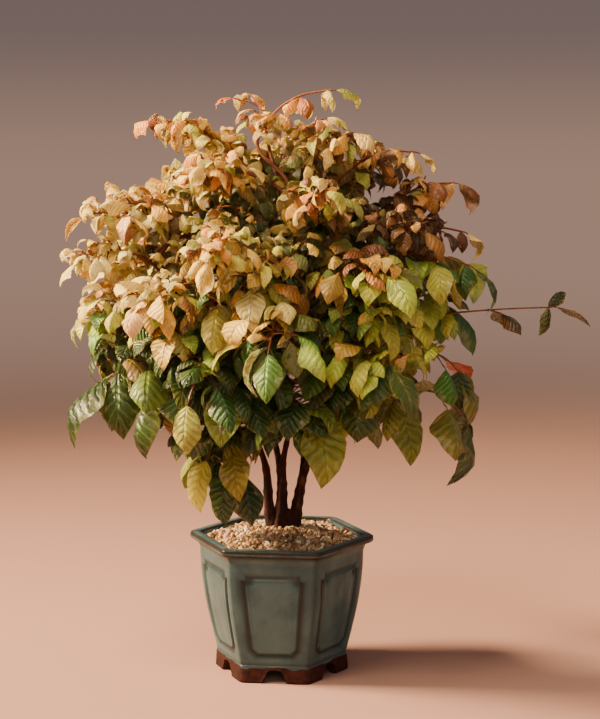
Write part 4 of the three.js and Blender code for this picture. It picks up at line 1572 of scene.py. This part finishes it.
@dataclass(frozen=True)
class BladeForm:
    """How far a blade departs from a plain arched one: shares of its half-width, or of its length.

    Attributes:
        size: of the solids' leaflets once their tips and margins have curled.
        width: of theirs.
        cup: how far its margins bend down.
        wave: height of the waves along its margin.
        curl: how far its tip curls under.
        twist: how far it turns about its midrib on the way to the tip, in radians.
    """

    size: float
    width: float
    cup: float
    wave: float
    curl: float
    twist: float

    def fitted(self, leaflet: Leaflet) -> Leaflet:
        """A leaflet of the solids at the size and width that it has once it is curled."""
        length, width = leaflet.length * self.size, leaflet.width * self.size * self.width
        return replace(leaflet, length=length, width=width)


BLADE_FORMS = {
    Tone.CREAM: BladeForm(0.62, 0.86, 1.3, 0.42, 1.6, 1.5),
    Tone.BRONZE: BladeForm(0.66, 0.86, 1.2, 0.4, 1.5, 1.4),
    Tone.YELLOW: BladeForm(0.86, 1.04, 0.85, 0.26, 1.1, 0.8),
    Tone.GREEN: BladeForm(0.98, 1.16, 0.9, 0.22, 1.3, 0.6),
}
SPRIG_FORM = BladeForm(0.86, 0.8, 1.0, 0.12, 1.6, 0.4)


@dataclass
class Fronds:
    """Every compound leaf as a fine surface: stalks, and leaflets with cupped, waved, curled blades.

    Attributes:
        reach: the first and last of them, as shares of half a turn of a cosine.
        over: places across the upper side, from margin to margin.
        under: places across the underside.
        thick: of a blade at its middle, in millimetres.
        left_edge: x at which blades begin to droop at the crown's left edge, and droop fully, if they
            are below the heights in `left_foot`.
        right_edge: x at which they do at its right edge.
        droops: how much the tips droop more there, left and right.
        own_tone: share of the leaflets that keep their leaf's tone.
        blur: how far from its place a leaflet may look for its tone, in millimetres.
        shade: share of the crown's size at which it is sunlit, and in full shade.
    """

    leaves: list[Leaf]
    solid_count: int
    stations: int = 8
    reach: tuple[float, float] = (0.1, 0.93)
    over: tuple[float, ...] = (1, 0.48, 0, -0.48, -1)
    under: tuple[float, ...] = (-0.45, 0.45)
    thick: float = 0.5
    left_edge: tuple[float, float] = (-128, -142)
    left_foot: tuple[float, float] = (312, 290)
    right_edge: tuple[float, float] = (136, 150)
    droops: tuple[float, float] = (1.1, 0.9)
    seed: int = 5
    stalk_sides: int = 4
    strand: tuple[float, float] = (0.8, 0.45)
    own_tone: float = 0.35
    blur: tuple[float, float, float] = (24, 0, 15)
    shade: tuple[float, float] = (1.0, 0.5)

    def build(self) -> None:
        """Makes a piece for every leaf, puts it under the root body, and hides the leaf's solid where it has
        one.
        """
        leaf_materials = {tone: finish.material() for tone, finish in LEAF_FINISHES.items()}
        stalk = StalkFinish().material()
        for leaf in self.leaves:
            tone = leaf.tone()
            outer = leaf.number < self.solid_count
            name = f"compound_leaf_{leaf.number + 1:02d}"
            label = name + "_fine" if outer else f"inner_leaf_{leaf.number + 1 - self.solid_count:02d}"
            surfaces = [self.blades_of(leaf), self.spine(leaf), self.strands(leaf)]
            piece = make_piece(label, surfaces, [leaf_materials[tone], stalk], 50)
            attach(piece, "root")
            if outer:
                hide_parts(name)

    def blades_of(self, leaf: Leaf) -> Surface:
        """The leaf's blades: each is a flat loop of points, over and under, at its stations.

        Along the direction that it faces, a point is moved by: half the thickness, less towards the
        margin; a cup, with the square of the place across; a wave along the margin; a twist, with
        the place across times the sine of the angle turned so far; and a curl, with the square of
        the place past the middle. Blades at the left and right edges of the crown curl down more.

        Args:
            leaf: the leaf.

        Returns:
            The painted blades; the first share of their mark is 1 on the underside.
        """
        form = SPRIG_FORM if leaf.plan.twist else BLADE_FORMS[leaf.tone()]
        leaflets = [form.fitted(one) for group in leaf.groups for one in group.leaflets]
        leaflets += [one for group in leaf.extra for one in group.leaflets]
        blades, each = Blades(leaflets), (len(leaflets), 1)
        draw = np.random.default_rng(self.seed + leaf.number)
        along = 0.5 - 0.5 * np.cos(np.pi * np.linspace(*self.reach, self.stations))
        upper = np.array([0, *[1] * (len(self.over) - 2), 0, *[-1] * len(self.under)])
        u = np.repeat(along, len(upper))
        v, side = (np.tile(values, self.stations) for values in (self.over + self.under, upper))
        points, facing = blades.points(u, v)
        length, half = blades.column("length"), blades.column("width") / 2 * blade_width(u)
        cup = form.cup * draw.uniform(-1.2, 0.25, each)
        wave = form.wave * draw.uniform(0.3, 1.0, each)
        phase = draw.uniform(0, 2 * np.pi, each)
        curl = form.curl * draw.uniform(0.3, 1.1, each) + self.droop(leaf, blades.base())
        twist = form.twist * draw.uniform(-1.0, 1.0, each)
        lift = side * self.thick / 2 * (1 - 0.6 * v * v)
        lift = lift + cup * v * v * half + np.sin(twist * u) * v * half
        lift = lift + wave * half * v * v * np.sin(10 * u + phase + np.where(v > 0, 0, 2.1))
        lift = lift - curl * length * np.clip(u - 0.5, 0, 1) ** 2
        points = points + facing * lift[..., None]
        poles, pole_facing = blades.points(np.array([0.0, 1.0]), np.zeros(2))
        poles[:, 1] -= pole_facing[:, 1] * (curl * length * 0.25)
        surface = loft(points.reshape(len(leaflets), self.stations, -1, 3), poles[:, 0], poles[:, 1])
        uv = np.stack([np.append(u, [0, 1]), np.append((v + 1) / 2, [0.5, 0.5])], -1)
        surface.uv = np.tile(uv, (len(leaflets), 1))
        under = np.tile(np.append(side < 0, [0, 0]), len(leaflets))
        tints = np.repeat(self.tints(leaf, leaflets, draw), len(u) + 2, axis=0)
        return surface.painted(tints, under[:, None] * [1.0, 0, 0, 0])

    def droop(self, leaf: Leaf, base: Array) -> Array:
        """How much more the tips curl down near the crown's left and right edges.

        Args:
            leaf: the leaf; the long bare one at the right doesn't droop there.
            base: where each leaflet starts.

        Returns:
            A column of amounts.
        """
        left, right = self.droops
        x, z = base[:, :1], base[:, 2:]
        low = left * smoothstep(*self.left_edge, x) * smoothstep(*self.left_foot, z)
        return low + right * smoothstep(*self.right_edge, x) * (not leaf.plan.twist)

    def tints(self, leaf: Leaf, leaflets: list[Leaflet], draw: np.random.Generator) -> Array:
        """A colour for each leaflet.

        About a third of them take their leaf's own tone and the rest the tone of a place nearby, so
        that the tones run into each other. In a patch they take its colours. Towards the middle of
        the crown all of them turn to the shade's colours.

        Args:
            leaf: the leaf.
            leaflets: its leaflets.
            draw: the leaf's own draw.

        Returns:
            One row of red, green and blue for each leaflet.
        """
        count = len(leaflets)
        blades = Blades(leaflets)
        base = blades.base()
        blurred = base + draw.normal(0, 1, (count, 3)) * self.blur
        tones = [leaf.tone() if draw.random() < self.own_tone else tone_at(x, z) for x, _, z in blurred]
        picked = np.concatenate([PALETTES[tone].draw(draw, 1) for tone in tones])
        if leaf.plan.twist:
            return SPRIG.draw(draw, count)
        middles = blades.points(np.array([0.5]), np.zeros(1))[0][:, 0]
        for patch in PATCHES:
            inside = patch.holds(middles)
            picked[inside] = patch.palette.draw(draw, int(inside.sum()))
        away = np.linalg.norm((base - CROWN_MIDDLE) / CROWN_HALVES, axis=1, keepdims=True)
        # Painted shade: leaflets towards the crown's middle are mixed towards the dark SHADE colours.
        inner = smoothstep(*self.shade, away + draw.uniform(-0.15, 0.15, (count, 1)))
        mixed = picked * (1 - inner) + SHADE.draw(draw, count) * inner
        return mixed * draw.uniform(0.72, 1.15, (count, 1))

    def stalk(self, leaf: Leaf, tubes: Surface) -> Surface:
        """Tubes as stalks of a leaf, in its stalks' colour."""
        palette = SPRIG if leaf.plan.twist else PALETTES[leaf.tone()]
        return tubes.painted(linear(palette.stalk), finish=1)

    def spine(self, leaf: Leaf) -> Surface:
        """The leaf's own stalk: a tube through its stations that thins towards the tip.

        Args:
            leaf: the leaf.

        Returns:
            The tube.
        """
        t = np.linspace(0, 1, 14)
        radii = np.interp(t, [0, 0.06, 1], [1.55, 1.15, 0.8]) * (0.7 if leaf.plan.twist else 1)
        path = through(leaf.spine, t)
        return self.stalk(leaf, tube(path[None], radii[None], (0.3, 0.2, 0.9), self.stalk_sides))

    def strands(self, leaf: Leaf) -> Surface:
        """The side stalks, bowed a little, and the short stalks of the middle leaflets.

        Args:
            leaf: the leaf.

        Returns:
            Tubes for all of them that are longer than a millimetre.
        """
        groups = [group for group in leaf.groups + leaf.extra if group.leaflets]
        starts = np.array([group.start for group in groups] + [group.at for group in groups])
        ways = np.array([group.at for group in groups] + [group.seat for group in groups]) - starts
        t = np.linspace(0, 1, 6)[None, :, None]
        length = np.linalg.norm(ways, axis=1)
        bow = length[:, None, None] * 0.07 * np.sin(np.pi * t)
        path = starts[:, None] + ways[:, None] * t + bow * np.array([0, 0, 1.0])
        path[:, -1] = path[:, -2] + (path[:, -1] - path[:, -2]) * 1.25
        path = path[length > 1]
        radii = np.tile(np.linspace(*self.strand, 6), (len(path), 1))
        return self.stalk(leaf, tube(path, radii, ASIDE, self.stalk_sides))


# Wood.


@dataclass
class CaneClump:
    """The canes, the twigs that carry the leaves, and the swollen foot that they spring from.

    Its foot tapers by the shares in `taper` at the shares of its height in `taper_at`.
    """

    leaves: list[Leaf]
    sides: int = 14
    stations: int = 90
    swell: float = 0.16
    node_spacing: float = 19.0
    foot_at: tuple[float, float] = (1.0, 0.5)
    foot_halves: tuple[float, float] = (14.0, 9.0)
    low: float = 108.0
    top: float = 138.0
    taper_at: tuple[float, ...] = (0, 0.4, 0.7, 0.9, 1)
    taper: tuple[float, ...] = (1.16, 0.96, 0.8, 0.62, 0.42)
    seed: int = 3

    def build(self) -> None:
        surfaces = [self.canes(), self.twigs(), self.foot()]
        piece = make_piece("cane_clump_fine", surfaces, [BarkFinish().material()], 60)
        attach(piece, "root")
        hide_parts("cane_clump")

    def canes(self) -> Surface:
        """Tubes along the canes.

        The radius falls evenly and swells at each old leaf scar and at the foot; above the foot each
        path sways by a sine of the run along it.

        Returns:
            The painted tubes.
        """
        t = np.linspace(0, 1, self.stations)
        draw = np.random.default_rng(self.seed)
        path = np.array([through(cane.curve(), t) for cane in CANES])
        run = np.cumsum(np.linalg.norm(np.diff(path, axis=1, prepend=path[:, :1]), axis=-1), axis=1)
        thick = np.array([[cane.thick] for cane in CANES])
        radii = thick + (CANE_TIP - thick) * t
        scar = (run / self.node_spacing + draw.random((len(CANES), 1))) % 1
        radii = radii * (0.93 + self.swell * bell(scar, 0.5, 0.13))
        z = path[..., 2]
        radii = radii * (1 + 0.5 * smoothstep(200, 150, z) + 0.6 * smoothstep(150, 118, z))
        sway = np.sin(run[..., None] / 11 + draw.uniform(0, 6, (len(CANES), 1, 3)))
        path = path + smoothstep(120, 150, z)[..., None] * 0.7 * sway
        return tube(path, radii, (0.2, 0.97, 0.1), self.sides).painted(1.0)

    def twigs(self) -> Surface:
        """Tubes along the twigs, fresher and redder than the canes.

        Returns:
            The painted tubes.
        """
        t = np.linspace(0, 1, 12)
        path = np.array([bezier(leaf.twig, t) for leaf in self.leaves])
        radii = np.tile(np.linspace(1.7, 1.45, len(t)), (len(path), 1))
        return tube(path, radii, ASIDE, 7).painted(1.0, (0.8, 0, 0, 0))

    def foot(self) -> Surface:
        """The swollen foot: an oval that flares into the grit, lobed under each cane.

        Its radius is the oval's, times 1 plus a lobe pattern (two sines of the angle, which wind
        upwards), times a taper from the flare in the grit to the top.

        Returns:
            The painted foot.
        """
        (x, y), (wide, deep) = self.foot_at, self.foot_halves
        z = np.linspace(self.low, self.top, 24)[:, None]
        angle = 2 * np.pi * np.arange(72) / 72
        taper = np.interp((z - self.low) / (self.top - self.low), self.taper_at, self.taper)
        lobes = 0.13 * np.sin(5 * angle + 0.6 + 0.03 * z) + 0.06 * np.sin(11 * angle + 0.08 * z)
        radius = taper * (1 + lobes)
        across, back = x + wide * radius * np.cos(angle), y + deep * radius * np.sin(angle)
        rings = np.stack([across, back, z + 0 * radius], -1)
        return loft(rings[None], np.array([[x, y, self.low]]), np.array([[x, y, self.top]])).painted(1.0)


# Pot.

POT_TURN = -6.7
SIDE = 60.0
APOTHEM = math.cos(math.pi / 6)
POWER = 38.0
BENEATH, BODY, LIP, INSIDE, FOOT = range(5)


def hexagon(angle: Array, corner: Array, crisp: Array) -> Array:
    """Radius of a rounded six-sided section at an angle from its first corner, in degrees.

    It is the apothem over the p-norm of the cosines of the angle to the three pairs of faces; the
    higher p, the crisper the corner, and with `crisp` 0 the section is a circle.

    Args:
        angle: from the first corner.
        corner: the corner radius.
        crisp: 1 for a six-sided section, 0 for a circle.

    Returns:
        The radius.
    """
    faces = np.stack([np.abs(np.cos((angle - SIDE / 2 - SIDE * k) * DEG)) ** POWER for k in range(3)])
    six = corner * APOTHEM / faces.sum(0) ** (1 / POWER)
    return six * crisp + corner * (1 - crisp)


@dataclass
class Pot:
    """The six-sided pot: bracket feet, bellied body with a framed panel on each face, and a lip."""

    foot_height: float = 15.0
    foot_corner: float = 58.3
    foot_inner: float = 49.0
    arch_half: float = 9.5
    arch_height: float = 11.5
    base: float = 56.5
    shoulder: float = 71.3
    top: float = 104.0
    panel_low: float = 22.0
    panel_high: float = 95.0
    low_half: float = 21.5
    high_half: float = 27.5
    notch: float = 5.0
    line: float = 3.6
    depth: float = 1.6
    columns: int = 58

    def build(self) -> None:
        piece = make_piece("glazed_pot", [self.surface()], [GlazeFinish().material()], 50)
        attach(piece, "root")
        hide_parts("pot")

    def profile(self) -> Array:
        """The pot's section from the outer foot over the lip to the drain hole and back.

        Returns:
            Rows of corner radius, height, crispness of the corners, and which part it is.
        """
        rows: list[tuple[float, float, float, float]] = []

        def run(points: list[tuple[float, float]], kind: int, steps: int) -> None:
            """Adds rows at even shares between the given points.

            Args:
                points: corner radius and height of each.
                kind: which part of the pot they are.
                steps: rows from one point to the next.
            """
            for (c0, z0), (c1, z1) in zip(points[:-1], points[1:]):
                for share in np.arange(steps) / steps:
                    rows.append((c0 + (c1 - c0) * share, z0 + (z1 - z0) * share, 1.0, kind))

        c = self.foot_corner
        run([(c - 0.8, 0), (c, 0.8)], FOOT, 2)
        run([(c, 0.8), (c - 0.9, self.foot_height - 1.5)], FOOT, 10)
        run([(c - 0.9, self.foot_height - 1.5), (self.base, self.foot_height + 0.5)], FOOT, 3)
        share = self.body_shares()
        heights = self.foot_height + (self.top - self.foot_height) * share
        corners = self.base + (self.shoulder - self.base) * np.sin(np.pi / 2 * share)
        rows.extend((a, b, 1.0, BODY) for a, b in zip(corners, heights))
        run([(self.shoulder, self.top), (72.2, 106.5), (73.2, 109.0), (75.2, 110.9), (77.4, 111.6)], BODY, 2)
        run([(77.4, 111.6), (79.4, 112.0), (80, 112.9)], LIP, 3)
        run([(80, 112.9), (80.1, 114.8), (79.8, 116.4), (79.2, 117.1), (78, 117.5)], LIP, 3)
        run([(78, 117.5), (75, 117.8), (72, 117.5), (70.6, 117.0), (69.8, 115.6)], LIP, 3)
        run([(69.8, 115.6), (69.6, 109.2), (66, 105.6), (66, 96), (62.5, 66), (57, 40), (50, 23)], INSIDE, 3)
        run([(50, 23), (36, 22.8)], INSIDE, 3)
        rows.extend((a, 22.6, w, INSIDE) for a, w in ((26, 0.6), (18, 0.2), (10.2, 0.0), (9.2, 0.0)))
        rows.extend((9.0, z, 0.0, BENEATH) for z in (22.0, 18.0, 15.0))
        under = ((9.6, 0.0), (18, 0.2), (30, 0.8), (44, 1.0), (48.6, 1.0))
        rows.extend((a, 14.0, w, BENEATH) for a, w in under)
        run([(self.foot_inner, 13.4), (self.foot_inner, 0.6)], FOOT, 8)
        run([(self.foot_inner + 0.6, 0.0), (c - 0.8, 0.0)], FOOT, 3)
        return np.array(rows)

    def body_shares(self) -> Array:
        """Places up the body, closer together where a panel line crosses it.

        Returns:
            Shares of the body's height.
        """
        fine = np.linspace(0, 1, 2001)
        z = self.foot_height + (self.top - self.foot_height) * fine
        lines = (self.panel_low + 1, self.panel_low + 5, self.panel_high - 1, self.panel_high - 5)
        weight = 1 + sum(3.5 * bell(z, line, 2.4) for line in lines)
        run = np.cumsum(weight)
        return np.interp(np.linspace(run[0], run[-1], 84), run, fine)[:-1]

    def angles(self) -> Array:
        """Angles round the pot from its first corner, closer together at corners and panel lines.

        Returns:
            The angles, in degrees.
        """
        fine = np.linspace(-1, 1, 4001)
        marks = ((0.6, 0.045), (0.66, 0.045), (0.5, 0.05), (0.72, 0.04), (1.0, 0.035))
        weight = 1 + sum(3.2 * bell(np.abs(fine), at, wide) for at, wide in marks)
        run = np.cumsum(weight)
        x = np.interp(np.linspace(run[0], run[-1], self.columns + 1), run, fine)[:-1]
        side = 30 + np.arctan(x * math.tan(math.pi / 6)) / DEG
        return (side[None] + SIDE * np.arange(6)[:, None]).ravel()

    def panel_distance(self, x: Array, z: Array, inset: float) -> Array:
        """How far a point of a face is inside the panel's outline, in millimetres.

        The outline leans out upwards; its lower corners are cut off and its upper ones stepped in.

        Args:
            x: place across the face, from its middle.
            z: height.
            inset: how far the outline is drawn in.

        Returns:
            The distance, below 0 outside.
        """
        x = np.abs(x)
        low, high = self.panel_low + inset, self.panel_high - inset
        share = (z - low) / (high - low)
        half = self.low_half + (self.high_half - self.low_half) * share - inset
        inside = np.minimum(np.minimum(half - x, z - low), high - z)
        cut = ((self.low_half - inset + low) - self.notch * 1.2 - (x - (z - low) + low)) / math.sqrt(2)
        corner_x = half - self.notch
        corner_z = high - self.notch
        step = -np.minimum(x - corner_x, z - corner_z)
        return np.minimum(np.minimum(inside, cut), np.where((x > corner_x) & (z > corner_z), step, inside))

    def knob(self, x: Array, z: Array) -> Array:
        """How near a point of a face is to the hooked upper corners of the panel, from 0 to 1."""
        aside = np.abs(x) - (self.high_half - self.notch - 2.5)
        return bell(aside, 0, 3.6) * bell(z, self.panel_high - self.notch - 1.5, 2.6)

    def surface(self) -> Surface:
        """The pot as one surface that closes on itself both ways.

        Each row of the profile becomes a rounded six-sided ring. The frame line is sunk into each
        face by a smooth groove of the panel's outline, the face inside it stands a little proud, and
        the foot's rows are squeezed up over the arch between two feet.

        Returns:
            The pot, marked with how thin its glaze is, where it pools dark in grooves and where shade under
            the lip is painted dark, and how bare it is.
        """
        rows = self.profile()
        corner, z, crisp, kind = (rows[:, i : i + 1] for i in range(4))
        angle = self.angles()[None]
        radius = hexagon(angle, corner, crisp)
        from_face = (angle % SIDE) - SIDE / 2
        x = radius * np.sin(from_face * DEG)
        outline = self.panel_distance(x, z, 0)
        body = kind == BODY
        groove = bell(outline, self.line / 2, self.line * 0.6) * body
        second = bell(outline, self.line + 3.6, 1.1) * body
        ridge = bell(outline, self.line + 1.2, 0.9) * body
        knob = self.knob(x, z) * body
        depth = self.depth * groove + 0.2 * second - 0.3 * ridge + 1.2 * knob
        radius = radius - depth / np.cos(from_face * DEG)
        arch = self.arch_height * np.cos(np.pi / 2 * np.clip(np.abs(x) / self.arch_half, 0, 1) ** 2.2) ** 0.8
        low = np.clip(z / (self.foot_height - 1), 0, 1)
        raised = arch + (self.foot_height - 1 - arch) * low
        z = np.where((z < self.foot_height - 1) & (kind == FOOT), raised, z + 0 * x)
        turned = (angle + POT_TURN) * DEG
        grid = np.stack([radius * np.cos(turned), radius * np.sin(turned), z], -1)
        near_corner = smoothstep(27.6, 29.6, np.abs(from_face))
        outer, inner = (bell(corner, at, 0.9) * (z > 115) for at in (79.6, 70.8))
        lip_edge = 0.5 * bell(z, 112.2, 0.8) + 1.1 * bell(z, 116.4, 1.5) + 0.3
        lip_edge = np.where(z > 117.25, 0.22, lip_edge) + outer + inner
        thin = near_corner * (body * 0.35 + (kind == LIP) * 0.3) + lip_edge * (kind == LIP)
        thin = thin + 0.1 * ridge + 0.06 * smoothstep(0.5, -2.5, outline) * body
        wide = bell(outline, self.line / 2, self.line * 0.75) * body
        wide = wide * (1 - 0.45 * smoothstep(self.panel_high - 4, self.panel_high - 1, z))
        # Dark glaze pooled in the grooves and the corner notches, and painted shadow in a band under the lip.
        pooled_and_shaded = 0.8 * wide + 0.7 * knob + 0.8 * smoothstep(107, 110.5, z) * smoothstep(113, 112, z)
        band = smoothstep(12.5, 14, z) * smoothstep(19, 15, z) * (kind != INSIDE)
        pooled_and_shaded = pooled_and_shaded + 0.35 * near_corner * body + 0.5 * band
        bare = smoothstep(16.5, 10.0, z) * (kind != INSIDE) + 0.35 * (kind == INSIDE)
        marks = np.clip(np.stack([thin, pooled_and_shaded, bare + 0 * x, 0 * z], -1), 0, 1)
        return ring_surface(grid).painted(1.0, marks.reshape(-1, 4))


# Filling.


@dataclass
class GritTop:
    """The top dressing: a bed heaped towards the canes, and grains of grit half sunk in it."""

    corner: float = 69.0
    edge: float = 113.2
    mound: float = 10.7
    shape: float = 1.4
    bottom: float = 106.3
    bottom_corner: float = 65.2
    spacing: float = 3.4
    seed: int = 21
    colours: tuple[int, ...] = (
        0xB4946C, 0x9C7E58, 0xC4A880, 0x8A6E4C, 0xAC8C68, 0xCCB48A, 0xB48E68, 0x7C6044,
    )
    accents: tuple[int, ...] = (0xEEDDC0, 0xC49C84, 0xF2E8D0)

    def build(self) -> None:
        piece = make_piece("grit_top_dressing", [self.bed(), self.grains()], [GritFinish().material()], 30)
        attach(piece, "root")
        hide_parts("gravel_top_dressing")

    def share(self, x: Array, y: Array) -> Array:
        """How far out a point lies on the six-sided bed, from 0 at the middle to 1 at the wall."""
        angle = np.arctan2(y, x) / DEG - POT_TURN
        return np.hypot(x, y) / hexagon(angle, self.corner, 1.0)

    def level(self, share: Array) -> Array:
        """Height of the heap: its edge plus the mound times a cosine of the share to a power."""
        return self.edge + self.mound * np.cos(np.pi / 2 * np.clip(share, 0, 1)) ** self.shape

    def bed(self) -> Surface:
        """A closed bed from its underside to its middle, with soft bumps of two sines.

        Returns:
            The painted bed.
        """
        angle = np.arange(120) * 3.0
        shares = np.concatenate([[self.bottom_corner / self.corner, 0.999], np.linspace(1, 0.04, 26)])
        radius = shares[:, None] * hexagon(angle, self.corner, 1.0)[None]
        turned = (angle + POT_TURN) * DEG
        x, y = radius * np.cos(turned), radius * np.sin(turned)
        z = self.level(shares)[:, None] - 0.9 + 0.5 * np.sin(x * 1.3) * np.sin(y * 1.1 + 0.7)
        z[:3] = np.array([[self.bottom], [self.bottom + 3.4], [self.edge - 0.9]])
        rings = np.stack([x, y, z], -1)
        first, last = np.array([[0, 0, self.bottom]]), np.array([[0, 0, self.edge + self.mound - 0.9]])
        return loft(rings[None], first, last).painted(linear(0x6A5036))

    def grains(self) -> Surface:
        """Grains on a jittered grid: each a squashed ball of seven-sided rings with uneven radii.

        Returns:
            The grains, half sunk in the bed, each in its own colour.
        """
        draw = np.random.default_rng(self.seed)
        steps = np.arange(-24, 25)
        gx, gy = np.meshgrid(steps, steps, indexing="ij")
        x = (gx + 0.5 * (gy % 2)) * self.spacing
        y = gy * self.spacing * 0.87
        x, y = (value.ravel() + draw.uniform(-1.3, 1.3, value.size) for value in (x, y))
        keep = (self.share(x, y) < 0.978) & (((x - 1) / 13.5) ** 2 + ((y - 0.5) / 8.5) ** 2 > 1)
        x, y = x[keep], y[keep]
        count = len(x)
        size = np.clip(draw.gamma(9, 1 / 9, count) * 2.15, 1.4, 3.3)
        squash = draw.uniform(0.6, 0.95, (count, 3)) * [1.15, 1.0, 0.85]
        pitch = np.array([-0.95, -0.25, 0.45, 1.05])
        around = 2 * np.pi * np.arange(7) / 7
        uneven = draw.uniform(0.78, 1.16, (count, len(pitch), 7))
        ball_x = np.cos(pitch)[:, None] * np.cos(around)
        ball_y = np.cos(pitch)[:, None] * np.sin(around)
        ball_z = np.sin(pitch)[:, None] + 0 * around
        rings = np.stack([ball_x, ball_y, ball_z], -1)[None] * uneven[..., None]
        poles = draw.uniform(0.8, 1.1, (2, count, 1)) * np.array([[[0, 0, -1.0]], [[0, 0, 1.0]]])
        turn = self.turns(draw, count)
        spot = np.stack([x, y, self.level(self.share(x, y)) + draw.uniform(-0.5, 0.7, count)], -1)
        scale = (size[:, None] * squash)[:, None, None]
        rings = np.einsum("nab,nijb->nija", turn, rings * scale) + spot[:, None, None]
        low, high = (np.einsum("nab,nb->na", turn, pole * scale[:, 0, 0]) + spot for pole in poles)
        surface = loft(rings, low, high)
        colours = linear(self.colours)[draw.integers(0, len(self.colours), count)]
        accents = linear(self.accents)[draw.integers(0, len(self.accents), count)]
        colours = np.where(draw.random((count, 1)) < 0.13, accents, colours)
        colours = colours * draw.uniform(0.88, 1.42, (count, 1))
        return surface.painted(np.repeat(colours, len(surface.points) // count, axis=0))

    @staticmethod
    def turns(draw: np.random.Generator, count: int) -> Array:
        """A random turn for each grain, from the Gram-Schmidt frame of two random directions.

        Args:
            draw: the grains' draw.
            count: how many there are.

        Returns:
            A rotation matrix for each.
        """
        first = unit(draw.normal(size=(count, 3)))
        second = draw.normal(size=(count, 3))
        second = unit(second - (second * first).sum(-1, keepdims=True) * first)
        return np.stack([first, second, np.cross(first, second)], -1)


def dress_hidden_nodes() -> None:
    """Gives the soil and the drainage mesh, which keep their solids' shapes, their finishes."""
    finishes = {
        "potting_soil": PlainFinish("potting_soil", 0x3A2A1E, 0x5A4430, 0.95, 400, 0.0006),
        "drainage_mesh": PlainFinish("mesh_plastic", 0x1E1E1E, 0x262626, 0.5, 300, 0.0001),
    }
    for node, finish in finishes.items():
        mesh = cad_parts[node].data
        mesh.materials.clear()
        mesh.materials.append(finish.material())


# Studio.


@dataclass(frozen=True)
class FloorFinish:
    """Pale paper that fades into the backdrop far off."""

    name: str = "floor_paper"
    near: int = 0xB08A7C
    far: int = 0xB08C7E

    def material(self) -> Material:
        """The finish as a material: the closer to the pot, the nearer to its own colour.

        Returns:
            The material.
        """
        bench = NodeBench(bpy.data.materials.new(self.name))
        x, y, _ = bench.split(bench.place())
        out = bench.math("SQRT", bench.plus(bench.times(x, x), bench.times(y, y)))
        closeness = bench.math("DIVIDE", 1, out)
        colour = bench.mix(bench.ramp(closeness, 0.3, 1.2, 1, 0), self.near, self.far)
        there = bench.ramp(closeness, 0.2, 1.0)
        return bench.finished(Base_Color=colour, Roughness=0.9, Specular_IOR_Level=0.0, Alpha=there)


@dataclass
class Studio:
    """Floor, soft lights and the camera at the photograph's angle."""

    floor_reach: float = 80.0
    camera_back: float = -1.4989
    camera_height: float = 0.4662
    pan: float = 0.606
    tilt: float = 7.597
    lens: float = 89.96
    air_low: tuple[float, float, float] = (0.36, 0.225, 0.168)
    air_high: tuple[float, float, float] = (0.175, 0.126, 0.116)
    air_rise: tuple[float, float] = (-0.035, 0.06)

    def build(self) -> None:
        """Sets up the studio."""
        self.floor()
        self.world()
        self.light("key", (-2.4, 0.15, 1.755), 0.675, 45, 0xFFDBB0, 56, (0.2, -0.05, 0.2))
        self.light("top", (-0.7, -0.95, 2.2), 0.8, 52, 0xFFE6C4)
        self.light("front_fill", (0.1, -2.2, 1.1), 1.2, 12, 0xFFF0E4)
        self.light("side_fill", (2.1, 0.3, 1.0), 1.2, 4, 0xFFF0E4)
        self.camera()

    def floor(self) -> None:
        """A wide level sheet under the pot."""
        reach = self.floor_reach
        mesh = bpy.data.meshes.new("floor")
        corners = [(-reach, -reach, 0), (reach, -reach, 0), (reach, reach, 0), (-reach, reach, 0)]
        mesh.from_pydata(corners, [], [(0, 1, 2, 3)])
        mesh.materials.append(FloorFinish().material())
        floor = bpy.data.objects.new("floor", mesh)
        bpy.context.scene.collection.objects.link(floor)

    def world(self) -> None:
        """A faintly warm glow from all round: a plain backdrop, paler at floor height than above."""
        bench = NodeBench(bpy.data.worlds.new("studio"), "Background")
        _, _, rise = bench.split(bench.node("TexCoord", {})["Generated"])
        share = bench.ramp(rise, *self.air_rise)
        bpy.context.scene.world = bench.finished(Color=bench.mix(share, self.air_low, self.air_high))

    def light(
        self,
        name: str,
        place: tuple[float, float, float],
        size: float,
        watts: float,
        tint: int,
        spread: float = 180,
        target: tuple[float, float, float] = (0.0, 0.0, 0.24),
    ) -> None:
        """A square area light that looks at a target, the middle of the plant if none is given.

        Args:
            name: of the light.
            place: where it stands, in metres from the pot's axis.
            size: of its side.
            watts: its strength.
            tint: its colour.
            spread: of its beam, in degrees.
            target: where it looks.
        """
        lamp = bpy.data.lights.new(name, "AREA")
        lamp.size = size
        lamp.energy = watts
        lamp.color = tuple(linear(tint))
        lamp.spread = spread * DEG
        holder = bpy.data.objects.new(name, lamp)
        where = Vector(place) + Vector(POT_AXIS)
        holder.location = where
        aim = Vector(POT_AXIS) + Vector(target) - where
        holder.rotation_euler = aim.to_track_quat("-Z", "Y").to_euler()
        bpy.context.scene.collection.objects.link(holder)

    def camera(self) -> None:
        """The camera, fitted to the photograph."""
        lens = bpy.data.cameras.new("camera")
        lens.lens = self.lens
        lens.sensor_width = 36
        lens.clip_end = 200
        camera = bpy.data.objects.new("camera", lens)
        camera.location = Vector(POT_AXIS) + Vector((0, self.camera_back, self.camera_height))
        camera.rotation_euler = Euler(((90 - self.tilt) * DEG, 0, -self.pan * DEG))
        bpy.context.scene.collection.objects.link(camera)
        bpy.context.scene.camera = camera


def main() -> None:
    """Grows the plant, builds every piece and sets up the studio."""
    logging.basicConfig(level=logging.INFO, format="%(message)s")
    growth = Growth()
    leaves = growth.grow()
    solid_count = len(leaves)
    Thicket(growth).grow()
    leaflets = sum(len(group.leaflets) for leaf in leaves for group in leaf.groups + leaf.extra)
    LOG.info("%d leaves, %d of them in the solids, %d leaflets", len(leaves), solid_count, leaflets)
    Pot().build()
    GritTop().build()
    CaneClump(leaves).build()
    Fronds(leaves, solid_count).build()
    dress_hidden_nodes()
    Studio().build()


if __name__ == "__main__":
    main()
